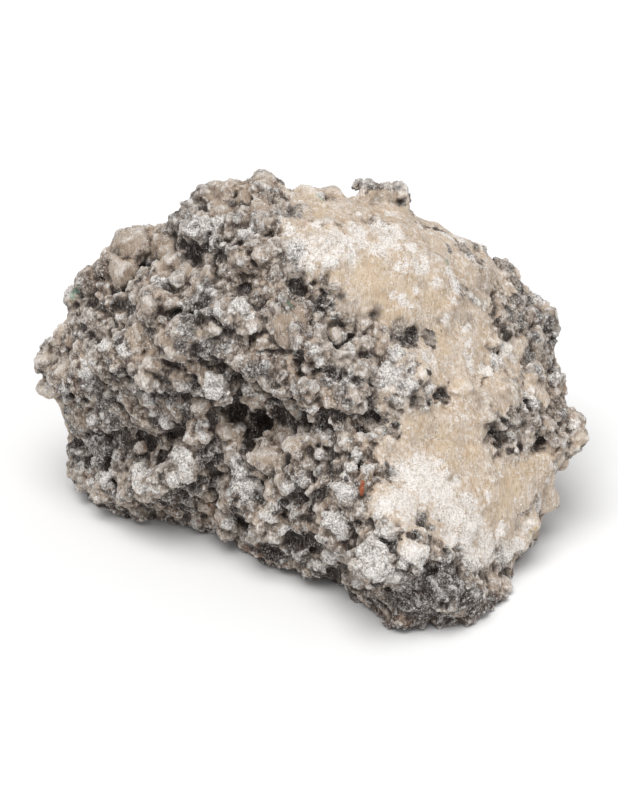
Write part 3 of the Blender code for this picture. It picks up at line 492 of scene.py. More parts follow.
# Skin: lumps on a sunken core, buds on the lumps and grains on the buds, fused into one surface
skin = {
    "voxel": 0.385,  # mm
    "sunk": 1.6,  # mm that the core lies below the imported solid, but for the crust
    "lumpRadius": (1.4, 4.3),  # mm
    "lumpTries": 12000,
    "lumpTip": (-0.7, 0.6),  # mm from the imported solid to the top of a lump
    "lumpSpacing": 0.64,
    "lumpSquash": ((0.95, 0.9, 0.65), (1.35, 1.2, 0.95)),  # least and most of each axis, nearly upright
    "lumpLean": 0.18,
    "lumpPoke": 0.3,  # mm that a lump may stick out elsewhere than at its tip
    "pickedRise": 0.72,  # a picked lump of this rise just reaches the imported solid
    "crustTip": (-0.5, 0.35),
    "crustSize": 1.3,
    "crustCalm": (0.25, 0.6, 0.8),  # share of each warp that the crust is spared
    "brokenTip": (-1.4, -0.4),
    "brokenSize": 0.7,
    "brokenCalm": 0.5,  # share of the sinking that broken stone is spared
    "honeySpacing": 0.95,  # others keep clear of the plain balls
    "honeySunk": 1.8,  # mm that the core lies deeper around them
    "honeySquash": ((0.95, 0.95, 0.9), (1.05, 1.05, 1.0)),
    "budCount": 20,
    "budShare": (0.2, 0.4),  # radius of a bud over that of its lump
    "budSunk": 0.3,  # of the bud's radius, inside its lump
    "budSquash": ((0.75, 0.75, 0.75), (1.3, 1.3, 1.3)),
    "coreBuds": 7000,
    "coreBudRadius": (0.6, 1.3),  # mm
    "warps": ((6.0, 0.9), (2.4, 0.45), (1.2, 0.16)),  # (size, reach) in mm of the twisting of round shapes
    "patchWarps": ((4.5, 1.6), (1.6, 0.9), (0.8, 0.5)),
    "grains": ((2.0, 0.24), (1.1, 0.28)),  # (size, height) in mm
    "crustGrain": 0.3,  # share of the grains' height left in the crust
    "most": 194000,  # triangles in each patch of the skin
    "smallMore": 1.3,  # above 1 there are more small lumps than large ones
    "inCrust": 0.3,  # nearness from which a lump counts as in the crust, and so on
    "inBroken": 0.4,
    "inHollow": 0.3,
    "inHoney": 0.7,
    "hollowShare": 0.8,  # of a hollow's radius, kept free of lumps
    "clearShare": 0.7,  # of a lump's radius, kept out of the clear spots
    "restHeight": 0.3,  # mm, below this lies the resting face
    "restFacing": -0.7,
    "budCap": 1.25,  # height of the cap that carries buds, over the lump's radius
    "budJitter": 0.12,
    "honeyMoat": 1.2,  # radii around a plain ball where the core lies deeper
    "honeyClear": 1.1,  # radii around it without small buds
    "coreBudCrust": 0.4,  # nearness to the crust up to which the core carries buds
    "lift": 1.1,  # radii that every ball keeps above the table
    "cuts": {"honey": 4, "lump": 3, "bud": 2},
    "unevenness": {"honey": 0.07, "lump": 0.25, "bud": 0.24},
    "coreRounds": (2, 0.5),  # rounds of easing, and the share of each
    "warpRounds": (1, 0.4),
    "calmRounds": (10, 0.6),
    "nearRounds": (6, 0.7),
    "farRounds": (50, 0.8),
    "upRounds": (8, 0.8),
    "flatFoot": 0.12,  # mm, what ends lower is pressed flat on the table
}
hollows = {"depth": 1.1, "spread": 0.9, "fullRadius": 1.2, "most": 1.5}  # mm, of the radius, mm and times


def roundedCore():
    corners, faces = arraysOf(stoneNode.data)
    corners, same = np.unique(np.round(corners, 6), axis=0, return_inverse=True)
    faces = same.reshape(-1)[faces]
    faces = faces[(faces[:, 0] != faces[:, 1]) & (faces[:, 1] != faces[:, 2]) & (faces[:, 0] != faces[:, 2])]
    rough = pieceFrom("roughCore", meshFrom("roughCore", corners, faces))
    smooth = rough.modifiers.new("round", "SUBSURF")
    smooth.levels = 1
    mesh = evaluated(rough)
    bpy.data.objects.remove(rough)
    corners, faces = arraysOf(mesh)
    return relax(corners, edgesOf(faces), *skin["coreRounds"]), faces


coreCorners, coreFaces = roundedCore()
coreTree = BVHTree.FromPolygons(coreCorners.tolist(), coreFaces.tolist())
print("core rounded:", len(coreFaces), "faces")

# What grows on the sides that the picture does not show: kind, how many, radius in mm
unseen = {"frost": (150, 1.0, 2.8), "charcoal": (75, 1.2, 3.4), "tan": (45, 1.6, 3.4), "rust": (16, 1.0, 2.2),
          "hollow": (110, 0.8, 2.0), "crust": (26, 3.5, 9.0), "gold": (12, 2.0, 4.5), "taupe": (30, 1.5, 3.0),
          "bare": (30, 1.2, 3.0), "broken": (14, 2.0, 5.0), "green": (6, 0.4, 0.8), "yellow": (4, 0.4, 0.7)}
unseenLimits = {"facing": -0.05, "above": 1.5, "crust": 0.3}  # turned away from the eye, mm above the table


def hiddenSpots():
    places = {}
    for kind, (count, low, high) in unseen.items():
        spread, normals, _ = spreadOver(coreCorners, coreFaces, count * 3)
        away = (normals * np.array(towardEye)).sum(1) < unseenLimits["facing"]
        spread = spread[away & (spread[:, 2] > unseenLimits["above"] * mm)][:count]
        places[kind] = (spread, dice.uniform(low, high, len(spread)) * mm)
    for kind in ("hollow", "charcoal"):  # none in the smooth crust
        spread, radii = places[kind]
        outside = nearness(spread, *places["crust"]) < unseenLimits["crust"]
        places[kind] = (spread[outside], radii[outside])
    return places


hidden = hiddenSpots()


def twisted(corners, warps):
    moved = corners.copy()
    for size, reach in warps:
        scaled = corners / (size * mm)
        moved += np.array([noise.noise_vector(Vector(p)) for p in scaled]) * reach * mm
    return moved


def mineralPlaces(tree):  # middles and radii of the patches of each kind, on the surface given
    places = {}
    for kind, marks in seen.items():
        spots = [onStone(tree, across, down)[0] for across, down, _ in marks]
        spots += [tree.find_nearest(Vector(spot))[0] for spot in hidden[kind][0]]
        radii = [radius * pixelSize for _, _, radius in marks]
        places[kind] = (np.array(spots), np.concatenate([radii, hidden[kind][1]]))
    return places


minerals = mineralPlaces(coreTree)
print("minerals placed:", {kind: len(radii) for kind, (_, radii) in minerals.items()})


bareBite = 1.3  # how strongly bare spots eat into the crust


def crustAt(spots):
    return np.clip(nearness(spots, *minerals["crust"]) - bareBite * nearness(spots, *minerals["bare"]), 0, 1)


def standsClear(middle, size):  # whether a lump keeps out of the clear spots in the picture
    for across, down, radius in clearSpots:
        start, way = pixelRay(across, down)
        if (middle - start).cross(way).length < radius * pixelSize + skin["clearShare"] * size:
            return False
    return True


def lumpPlaces():  # (middle, radius, outward, budding, honey) of every lump
    lumps = []
    room = skin["lumpTries"] + len(pickedLumps)
    taken, takenSizes, spacing = np.empty((room, 3)), np.empty(room), np.full(room, skin["lumpSpacing"])
    picks = [(onStone(coreTree, across, down), size, rise) for across, down, size, rise in pickedLumps]
    honey = nearness(np.array([spot for (spot, _), _, _ in picks]), *minerals["tan"]) > skin["inHoney"]
    for ((spot, normal), radius, rise), plain in zip(picks, honey):
        size = radius * pixelSize
        taken[len(lumps)], takenSizes[len(lumps)] = spot, size
        spacing[len(lumps)] = skin["honeySpacing"] if plain else skin["lumpSpacing"]
        outward = (normal + towardEye).normalized()
        middle = np.array(spot + outward * size * (rise - skin["pickedRise"] - 1))
        lumps.append((middle, size, np.array(outward), not plain, plain))
    spots, normals, _ = spreadOver(coreCorners, coreFaces, skin["lumpTries"])
    crust = crustAt(spots) > skin["inCrust"]
    hollow = nearness(spots, minerals["hollow"][0], minerals["hollow"][1] * skin["hollowShare"])
    resting = (spots[:, 2] < skin["restHeight"] * mm) & (normals[:, 2] < skin["restFacing"])
    unfit = (hollow > skin["inHollow"]) | resting
    low, high = skin["lumpRadius"]
    sizes = (low + (high - low) * dice.random(len(spots)) ** skin["smallMore"]) * mm
    sizes = np.where(crust, sizes * skin["crustSize"], sizes)
    tips = dice.uniform(*skin["lumpTip"], len(spots)) * mm
    tips = np.where(crust, dice.uniform(*skin["crustTip"], len(spots)) * mm, tips)
    broken = nearness(spots, *minerals["broken"]) > skin["inBroken"]
    sizes = np.where(broken, sizes * skin["brokenSize"], sizes)
    tips = np.where(broken, dice.uniform(*skin["brokenTip"], len(spots)) * mm, tips)
    for spot, normal, size, tip, skipped, flat in zip(spots, normals, sizes, tips, unfit, crust):
        count = len(lumps)
        if skipped:
            continue
        gaps = np.linalg.norm(taken[:count] - spot, axis=1)
        if (gaps < spacing[:count] * (takenSizes[:count] + size)).any():
            continue
        middle = spot + normal * (tip - size)
        if size > coreTree.find_nearest(middle)[3] + max(tip, 0) + skin["lumpPoke"] * mm:
            continue
        if not standsClear(Vector(middle), size):
            continue
        taken[count], takenSizes[count] = spot, size
        lumps.append((middle, size, normal, not flat, False))
    return [np.array(column) for column in zip(*lumps)]


def budPlaces(middles, radii, outward):  # buds strewn evenly over the outer half of each lump
    count = skin["budCount"]
    turn = np.arange(count) * math.pi * (3 - math.sqrt(5))
    high = 1 - skin["budCap"] * (np.arange(count) + 0.5) / count
    flat = np.sqrt(1 - high ** 2)
    evenly = np.stack([flat * np.cos(turn), flat * np.sin(turn), high], axis=1)
    side = np.cross(outward, np.where(np.abs(outward[:, 2:]) < 0.8, (0.0, 0.0, 1.0), (1.0, 0.0, 0.0)))
    side /= np.linalg.norm(side, axis=1)[:, None]
    other = np.cross(outward, side)
    spin = dice.random(len(radii)) * 2 * math.pi
    first = side * np.cos(spin)[:, None] + other * np.sin(spin)[:, None]
    second = np.cross(outward, first)
    ways = np.einsum("ck,lkx->lcx", evenly, np.stack([first, second, outward], axis=1))
    ways = ways + dice.normal(size=ways.shape) * skin["budJitter"]
    ways /= np.linalg.norm(ways, axis=2)[:, :, None]
    sizes = dice.uniform(*skin["budShare"], (len(radii), count)) * radii[:, None]
    reach = radii[:, None] - sizes * skin["budSunk"]
    spots = middles[:, None] + ways * reach[:, :, None]
    return spots.reshape(-1, 3), sizes.reshape(-1)


def fusedSkin():
    middles, radii, outward, budding, honey = lumpPlaces()
    budMiddles, budRadii = budPlaces(middles[budding], radii[budding], outward[budding])
    sunk = skin["sunk"] * mm * (1 - softStep(crustAt(coreCorners), *patchRim))
    sunk *= 1 - skin["brokenCalm"] * softStep(nearness(coreCorners, *minerals["broken"]), *patchRim)
    sunk += skin["honeySunk"] * mm * nearness(coreCorners, middles[honey], radii[honey] * skin["honeyMoat"])
    core = coreCorners - cornerNormals(coreCorners, coreFaces) * sunk[:, None]
    core[:, 2] = np.where(coreCorners[:, 2] < skin["restHeight"] * mm, coreCorners[:, 2], core[:, 2])
    low, _, _ = spreadOver(core, coreFaces, skin["coreBuds"])
    low = low[crustAt(low) < skin["coreBudCrust"]]
    gaps = np.linalg.norm(low[:, None] - middles[None, honey], axis=2) / radii[None, honey]
    low = low[gaps.min(1) > skin["honeyClear"]]
    lowRadii = dice.uniform(*skin["coreBudRadius"], len(low)) * mm
    print("lumps:", len(radii), "buds:", len(budRadii) + len(low))
    layers = [(core, coreFaces)]
    buds = np.concatenate([budMiddles, low]), np.concatenate([budRadii, lowRadii])
    kinds = (
        ("honey", middles[honey], radii[honey], 1),
        ("lump", middles[~honey], radii[~honey], skin["lumpLean"]),
        ("bud", *buds, 1),
    )
    for kind, spots, sizes, lean in kinds:
        spots[:, 2] = np.maximum(spots[:, 2], sizes * skin["lift"])
        forms, formFaces = lumpyForms(skin["cuts"][kind], skin["unevenness"][kind])
        shares = dice.uniform(*skin[kind + "Squash"], (len(sizes), 3))
        balls, ballFaces, _ = scatterForms(forms, formFaces, spots, sizes[:, None] * shares, lean)
        layers.append((balls, ballFaces))
    starts = np.cumsum([0] + [len(corners) for corners, _ in layers[:-1]])
    corners = np.concatenate([corners for corners, _ in layers])
    faces = np.concatenate([faces + start for (_, faces), start in zip(layers, starts)])
    loose = pieceFrom("looseBalls", meshFrom("looseBalls", corners, faces))
    fuse = loose.modifiers.new("fuse", "REMESH")
    fuse.mode = "VOXEL"
    fuse.voxel_size = skin["voxel"] * mm
    mesh = evaluated(loose)
    bpy.data.objects.remove(loose)
    corners = np.empty(len(mesh.vertices) * 3, np.float32)
    mesh.vertices.foreach_get("co", corners)
    faces = np.empty(len(mesh.loops), np.int32)
    mesh.loops.foreach_get("vertex_index", faces)
    print("fused:", len(faces) // 2, "triangles")
    corners, faces = inOrder(corners.reshape(-1, 3).astype(float), faces.reshape(-1, 4))
    return corners, faces, middles, buds[0]


def outerShell(corners, faces):  # drops pockets closed in between knobs
    a, b = edgesOf(faces).T
    label = np.arange(len(corners))
    while True:
        low = np.minimum(label[a], label[b])
        new = label.copy()
        np.minimum.at(new, a, low)
        np.minimum.at(new, b, low)
        new = new[new]
        if (new == label).all():
            break
        label = new
    biggest = np.bincount(label).argmax()
    keep = label == biggest
    number = np.cumsum(keep) - 1
    return corners[keep], number[faces[keep[faces[:, 0]]]]


def pressHollows(corners, faces, edges):
    depth = np.zeros(len(corners))
    spots, radii = minerals["hollow"]
    strength = np.minimum(radii / (hollows["fullRadius"] * mm), hollows["most"])
    for start in range(0, len(corners), batch):
        square = squaredGaps(corners[start:start + batch], spots)
        depth[start:start + batch] = (np.exp(-square / (radii * hollows["spread"]) ** 2) * strength).max(1)
    calm = relax(corners, edges, *skin["calmRounds"])
    return corners - cornerNormals(calm, faces) * (depth * hollows["depth"] * mm)[:, None]


def roughenSkin(corners, faces):
    normals = cornerNormals(corners, faces)
    push = sum((grainsAt(corners, size) - 0.5) * height for size, height in skin["grains"])
    smooth = softStep(np.maximum(crustAt(corners), nearness(corners, *minerals["tan"])), *patchRim)
    return corners + normals * (push * mm * (1 - (1 - skin["crustGrain"]) * smooth))[:, None]


def setMarks(mesh, marks):
    for name, values in marks.items():
        layer = mesh.attributes.new(name, "FLOAT", "POINT")
        layer.data.foreach_set("value", np.asarray(values, np.float32))


brokenBelow = (3.0 * mm, 1.0 * mm)  # heights over which the stone turns into broken stone


def mineralMarks(spots):
    uneven = twisted(spots, skin["patchWarps"])
    marks = {kind: nearness(uneven, *stains[kind]) for kind in stains}
    marks["crust"] = np.clip(marks["crust"] - bareBite * marks.pop("bare"), 0, 1)
    marks["broken"] = np.maximum(marks["broken"], softStep(uneven[:, 2], *brokenBelow))
    return marks


def ownValues(spots, middles, columns):  # random values of each ball, given to the spots nearest to it
    tree = KDTree(len(middles))
    for number, middle in enumerate(middles):
        tree.insert(middle, number)
    tree.balance()
    own = [tree.find(spot)[1] for spot in spots]
    return dice.random((len(middles), columns))[own].T


def depthBelow(spots):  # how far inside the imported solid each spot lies
    found = [coreTree.find_nearest(spot)[:2] for spot in spots.tolist()]
    nearest, normals = (np.array([pair[k] for pair in found]) for k in (0, 1))
    return ((nearest - spots) * normals).sum(1)


skinTones = {  # what is random from knob to knob, and what changes slowly over the stone
    "toneShares": (0.5, 0.25, 0.25),  # of lump, bud and cloud
    "toneCloud": (6.0, 20.0, 0.8),  # size in mm, place in the noise, strength
    "toneRounds": (1, 0.5),
    "warmthShares": (0.5, 0.5),  # of lump and cloud
    "warmthCloud": (8.0, 50.0, 0.9),
    "warmthRounds": (3, 0.5),
    # The rest sets how far things stand out, painted light on high, upward-facing spots and painted shade on
    # deep ones
    "tipHeight": 0.30,  # mm that a full tip stands out
    "knobHeight": 0.9,  # mm that a full knob stands out
    "deep": (0.5, 2.0),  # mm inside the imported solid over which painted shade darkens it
    "paintedDeepShadeShare": 0.5,
    "paintedTopLightShare": 0.5,
    "levelUp": 0.3,  # upward facing that gets neither painted light nor painted shade
}


def cloudAt(spots, size, shift, strength):
    return 0.5 + strength * noiseAt(spots, size, shift)


def skinColouring(corners, edges, lumpMiddles, budMiddles):
    (lumpTone, lumpWarmth), (budTone,) = ownValues(corners, lumpMiddles, 2), ownValues(corners, budMiddles, 1)
    ofLump, ofBud, ofCloud = skinTones["toneShares"]
    tone = ofLump * lumpTone + ofBud * budTone + ofCloud * cloudAt(corners, *skinTones["toneCloud"])
    ofLump, ofCloud = skinTones["warmthShares"]
    warmth = ofLump * lumpWarmth + ofCloud * cloudAt(corners, *skinTones["warmthCloud"])
    return {
        "tone": relax(tone[:, None], edges, *skinTones["toneRounds"])[:, 0],
        "warmth": relax(warmth[:, None], edges, *skinTones["warmthRounds"])[:, 0],
    }


def skinStanding(corners, faces, edges, normals):  # how far grains and knobs stand out; height also carries painted shade where the skin lies deep and painted light where it faces up
    near = relax(corners, edges, *skin["nearRounds"])
    far = relax(near, edges, *skin["farRounds"])
    stand = ((corners - near) * normals).sum(1) / (skinTones["tipHeight"] * mm)
    # painted shade inside the imported solid and painted light on upward faces, baked into height
    deep = softStep(depthBelow(near), *(edge * mm for edge in skinTones["deep"]))
    facingUp = cornerNormals(relax(near, edges, *skin["upRounds"]), faces)[:, 2]
    depth = ((near - far) * normals).sum(1) / (skinTones["knobHeight"] * mm) - skinTones["paintedDeepShadeShare"] * deep
    depth = depth + skinTones["paintedTopLightShare"] * (facingUp - skinTones["levelUp"])
    return {"tip": np.clip(0.5 + 0.5 * stand, 0, 1), "height": np.clip(0.5 + 0.5 * depth, 0, 1)}


def finishedSkin():
    corners, faces, lumpMiddles, budMiddles = fusedSkin()
    corners, faces = outerShell(corners, faces)
    edges = edgesOf(faces)
    looks = skinColouring(corners, edges, lumpMiddles, budMiddles)
    flat = softStep(crustAt(corners), *patchRim)
    moves = [(twisted(corners, [warp]) - corners) * (1 - spared * flat)[:, None]
             for warp, spared in zip(skin["warps"], skin["crustCalm"])]
    corners = relax(corners + sum(moves), edges, *skin["warpRounds"])
    corners = roughenSkin(pressHollows(corners, faces, edges), faces)
    corners[:, 2] = np.where(corners[:, 2] < skin["flatFoot"] * mm, 0.0, corners[:, 2])
    normals = cornerNormals(corners, faces)
    print("skin roughened")
    return corners, faces, normals, looks | skinStanding(corners, faces, edges, normals)


skinCorners, skinFaces, skinNormals, skinLooks = finishedSkin()
skinTree = BVHTree.FromPolygons(skinCorners.tolist(), skinFaces.tolist())
minerals = mineralPlaces(skinTree)
stains = {kind: (twisted(spots, skin["patchWarps"]), radii) for kind, (spots, radii) in minerals.items()}
print("skin finished:", 2 * len(skinFaces), "triangles")


def makeSkinPatches():  # side by side, so that each patch stays within the triangles set in skin
    marks = mineralMarks(skinCorners) | skinLooks
    across = skinCorners[skinFaces].mean(axis=1)[:, 0]
    count = math.ceil(2 * len(skinFaces) / skin["most"])
    order = np.argsort(across, kind="stable")
    pieces = []
    for number, part in enumerate(np.array_split(order, count)):
        used, local = np.unique(skinFaces[part], return_inverse=True)
        name = f"noduleSkin{number + 1}"
        mesh = meshFrom(name, skinCorners[used], local.reshape(-1, 4))
        setMarks(mesh, {kind: values[used] for kind, values in marks.items()})
        mesh.shade_smooth()
        mesh.normals_split_custom_set_from_vertices(skinNormals[used].tolist())
        pieces.append(pieceFrom(name, mesh))
        print(name, 2 * len(part), "triangles")
    return pieces


skinPieces = makeSkinPatches()

# Sugar: flat-faced crystals strewn over the skin, thick in the frost
sugar = {
    "tries": 110000,
    "frost": {"most": 17000, "size": (0.17, 0.36)},  # mm, half the length
    "stone": {"most": 11000, "size": (0.14, 0.30)},
    "shapes": (0.55, 1.0),  # width over length
    "above": 0.35,  # mm over the table
    "inFrost": (0.15, 0.7),  # nearness over which the frost thickens
    "frostMost": 0.95,
    "druse": (4.0, 40.0),  # size in mm and place in the noise
    "inDruse": (-0.05, 0.2),
    "onTips": 0.8,  # share that keeps to tips, to druse and away from the crust
    "onDruse": 0.9,
    "offCrust": 0.8,
    "inHollow": 0.5,
}


def crystalForm():  # two pyramids foot to foot, slightly uneven
    corners = np.array([
        (1, 0, 0), (0, 0.9, 0.1), (-0.95, 0.1, 0), (0.1, -1, 0), (0.1, 0, 1.2), (0, -0.1, -1.1),
    ])
    faces = np.array([(0, 1, 4), (1, 2, 4), (2, 3, 4), (3, 0, 4), (1, 0, 5), (2, 1, 5), (3, 2, 5), (0, 3, 5)])
    return corners, faces


def makeSugar():
    triangles = np.concatenate([skinFaces[:, :3], skinFaces[:, [0, 2, 3]]])
    spots, normals, pick = spreadOver(skinCorners, triangles, sugar["tries"])
    own = triangles[pick, 0]
    marks = mineralMarks(spots)
    upper = spots[:, 2] > sugar["above"] * mm
    frosted = softStep(marks["frost"], *sugar["inFrost"]) * sugar["frostMost"]
    white = upper & (dice.random(len(spots)) < frosted)
    druse = np.maximum(softStep(noiseAt(spots, *sugar["druse"]), *sugar["inDruse"]), marks["charcoal"])
    likely = 1 - sugar["onTips"] * (1 - skinLooks["tip"][own])
    likely = likely * (1 - sugar["onDruse"] * (1 - druse)) * (1 - sugar["offCrust"] * marks["crust"])
    plain = upper & ~white & (marks["hollow"] < sugar["inHollow"]) & (dice.random(len(spots)) < likely)
    pieces = []
    for name, chosen, kind in (("frostSugar", white, sugar["frost"]), ("stoneSugar", plain, sugar["stone"])):
        rows = np.flatnonzero(chosen)[:kind["most"]]
        half = dice.uniform(*kind["size"], len(rows)) * mm
        widths = dice.uniform(*sugar["shapes"], (len(rows), 2))
        sizes = half[:, None] * np.column_stack([widths, np.ones(len(rows))])
        form, faces = crystalForm()
        corners, crystalFaces, owner = scatterForms([form], faces, spots[rows], sizes)
        corners[:, 2] = np.maximum(corners[:, 2], 0)
        mesh = meshFrom(name, corners, crystalFaces)
        setMarks(mesh, {label: values[rows][owner] for label, values in marks.items()})
        # tip and height carry painted highlight and painted shade into the crystals
        setMarks(mesh, {
            "tip": 0.5 + 0.5 * dice.random(len(rows))[owner],
            "height": skinLooks["height"][own[rows]][owner],
            "tone": dice.random(len(rows))[owner],
            "warmth": skinLooks["warmth"][own[rows]][owner],
        })
        pieces.append(pieceFrom(name, mesh))
        print(name, len(rows), "crystals,", len(crystalFaces), "triangles")
    return pieces


sugarPieces = makeSugar()

# One orange fleck stuck between the knobs
fleck = {
    "pixel": (362, 488),
    "half": (0.55, 0.35, 1.9),  # mm
    "lean": 6.0,  # degrees
    "unevenness": 0.25,
    "bumps": (0.7, 3.0),  # size over the half and place in the noise
    "mottle": (0.6, 0.35, 0.65),  # mm, and between which values of its noise it fades in
    "roughness": 0.6,
}


def makeFleck():
    spot, _ = onStone(skinTree, *fleck["pixel"])
    corners, faces = ballForm(2)
    swell = 1 + fleck["unevenness"] * noiseAt(corners * mm, *fleck["bumps"])
    corners = corners * swell[:, None] * np.array(fleck["half"]) * mm
    mesh = meshFrom("rustyFleck", corners, faces)
    piece = pieceFrom("rustyFleck", mesh)
    piece.location = spot
    piece.rotation_euler = (-lookDown, math.radians(fleck["lean"]), 0)
    mesh.shade_smooth()
    return piece


fleckPiece = makeFleck()
print("rustyFleck", len(fleckPiece.data.polygons), "triangles")


# Materials
def fromSrgb(red, green, blue):
    def straight(c):
        c /= 255
        return c / 12.92 if c <= 0.04045 else ((c + 0.055) / 1.055) ** 2.4
    return (straight(red), straight(green), straight(blue), 1.0)


def newGroup(name, inputs, outputs):
    group = bpy.data.node_groups.new(name, "ShaderNodeTree")
    for label, value in inputs:
        socket = group.interface.new_socket(label, in_out="INPUT", socket_type="NodeSocketFloat")
        socket.default_value = value
    for label in outputs:
        group.interface.new_socket(label, in_out="OUTPUT", socket_type="NodeSocketFloat")
    return group, group.nodes.new("NodeGroupInput"), group.nodes.new("NodeGroupOutput")


def calc(tree, how, first, second=None, third=None):
    node = tree.nodes.new("ShaderNodeMath")
    node.operation = how
    for socket, value in zip(node.inputs, (first, second, third)):
        if isinstance(value, bpy.types.NodeSocket):
            tree.links.new(value, socket)
        elif value is not None:
            socket.default_value = value
    return node.outputs[0]


def ranged(tree, value, low, high, outLow=0.0, outHigh=1.0):
    node = tree.nodes.new("ShaderNodeMapRange")
    node.interpolation_type = "SMOOTHSTEP"
    tree.links.new(value, node.inputs["Value"])
    for label, number in (("From Min", low), ("From Max", high), ("To Min", outLow), ("To Max", outHigh)):
        if isinstance(number, bpy.types.NodeSocket):
            tree.links.new(number, node.inputs[label])
        else:
            node.inputs[label].default_value = number
    return node.outputs["Result"]


def blend(tree, share, first, second, how="MIX"):
    node = tree.nodes.new("ShaderNodeMix")
    node.data_type = "RGBA"
    node.blend_type = how
    for socket, value in ((node.inputs[0], share), (node.inputs[6], first), (node.inputs[7], second)):
        if isinstance(value, bpy.types.NodeSocket):
            tree.links.new(value, socket)
        else:
            socket.default_value = value
    return node.outputs[2]


groupLook = {
    "mottleDetail": 4.0,
    "mottleRoughness": 0.6,
    "grainGap": (0.42, 0.75),  # distance from a grain's middle, in cells, over which its gap sets in
    "fibreLength": 5.0,  # over their width
    "fibreDetail": 2.0,
    "fibrePale": (0.52, 0.68),  # values of the noise over which pale and dark fibres set in
    "fibreDark": (0.48, 0.32),
}


def makeMottle():  # soft patches of a given size in mm
    group, given, out = newGroup("mineralMottle", (("Size", 3.0), ("Low", 0.35), ("High", 0.65)), ("Mask",))
    place = group.nodes.new("ShaderNodeTexCoord")
    cloud = group.nodes.new("ShaderNodeTexNoise")
    cloud.inputs["Detail"].default_value = groupLook["mottleDetail"]
    cloud.inputs["Roughness"].default_value = groupLook["mottleRoughness"]
    group.links.new(place.outputs["Object"], cloud.inputs["Vector"])
    group.links.new(calc(group, "DIVIDE", 1000.0, given.outputs["Size"]), cloud.inputs["Scale"])
    mask = ranged(group, cloud.outputs["Fac"], given.outputs["Low"], given.outputs["High"])
    group.links.new(mask, out.inputs["Mask"])
    return group


def makeGrain():  # sugar grains of a given size in mm: their height, a value for each and the gaps between
    group, given, out = newGroup("sugarGrain", (("Size", 0.5),), ("Height", "Each", "Gap"))
    place = group.nodes.new("ShaderNodeTexCoord")
    cells = group.nodes.new("ShaderNodeTexVoronoi")
    group.links.new(place.outputs["Object"], cells.inputs["Vector"])
    group.links.new(calc(group, "DIVIDE", 1000.0, given.outputs["Size"]), cells.inputs["Scale"])
    parts = group.nodes.new("ShaderNodeSeparateColor")
    group.links.new(cells.outputs["Color"], parts.inputs["Color"])
    group.links.new(calc(group, "SUBTRACT", 1.0, cells.outputs["Distance"]), out.inputs["Height"])
    group.links.new(parts.outputs["Red"], out.inputs["Each"])
    group.links.new(ranged(group, cells.outputs["Distance"], *groupLook["grainGap"]), out.inputs["Gap"])
    return group


def makeFibres():  # short upright streaks of a given width in mm
    group, given, out = newGroup("uprightFibres", (("Width", 0.3),), ("Pale", "Dark"))
    place = group.nodes.new("ShaderNodeTexCoord")
    lean = group.nodes.new("ShaderNodeMapping")
    lean.vector_type = "TEXTURE"
    lean.inputs["Rotation"].default_value = (-lookDown, 0, 0)
    lean.inputs["Scale"].default_value = (1.0, 1.0, groupLook["fibreLength"])
    cloud = group.nodes.new("ShaderNodeTexNoise")
    cloud.inputs["Detail"].default_value = groupLook["fibreDetail"]
    group.links.new(place.outputs["Object"], lean.inputs["Vector"])
    group.links.new(lean.outputs["Vector"], cloud.inputs["Vector"])
    group.links.new(calc(group, "DIVIDE", 1000.0, given.outputs["Width"]), cloud.inputs["Scale"])
    group.links.new(ranged(group, cloud.outputs["Fac"], *groupLook["fibrePale"]), out.inputs["Pale"])
    group.links.new(ranged(group, cloud.outputs["Fac"], *groupLook["fibreDark"]), out.inputs["Dark"])
    return group


mottleGroup = makeMottle()
grainGroup = makeGrain()
fibreGroup = makeFibres()


def placeGroup(tree, group, **values):
    node = tree.nodes.new("ShaderNodeGroup")
    node.node_tree = group
    for label, value in values.items():
        node.inputs[label].default_value = value
    return node


def mark(tree, name):
    node = tree.nodes.new("ShaderNodeAttribute")
    node.attribute_name = name
    return node.outputs["Fac"]


colours = {
    "darkGrey": fromSrgb(68, 59, 52),
    "darkBrown": fromSrgb(84, 64, 50),
    "paleGrey": fromSrgb(190, 179, 168),
    "paleBrown": fromSrgb(196, 172, 148),
    "crustBeige": fromSrgb(191, 167, 141),
    "crustCream": fromSrgb(218, 201, 181),
    "gold": fromSrgb(206, 182, 151),
    "taupe": fromSrgb(158, 142, 126),
    "frost": fromSrgb(251, 247, 243),
    "charcoalDark": fromSrgb(40, 34, 31),
    "charcoalPale": fromSrgb(154, 146, 139),
    "tan": fromSrgb(168, 149, 130),
    "rust": fromSrgb(124, 92, 68),
    "broken": fromSrgb(126, 106, 92),
    "green": fromSrgb(112, 152, 132),
    "yellow": fromSrgb(222, 196, 120),
    # painted shade laid in the gaps between knobs, the gaps between grains and the hollows
    "paintedShade": fromSrgb(38, 26, 20),
    "fleckDark": fromSrgb(128, 66, 40),
    "fleckPale": fromSrgb(174, 98, 62),
    # painted shade in the gaps between grains
    "paintedGrainGapShade": fromSrgb(76, 63, 54),
    # painted highlight on tips, high knobs and glinting grains, and also the pale fibre streaks
    "paintedHighlightAndPaleStreak": fromSrgb(248, 245, 241),
}


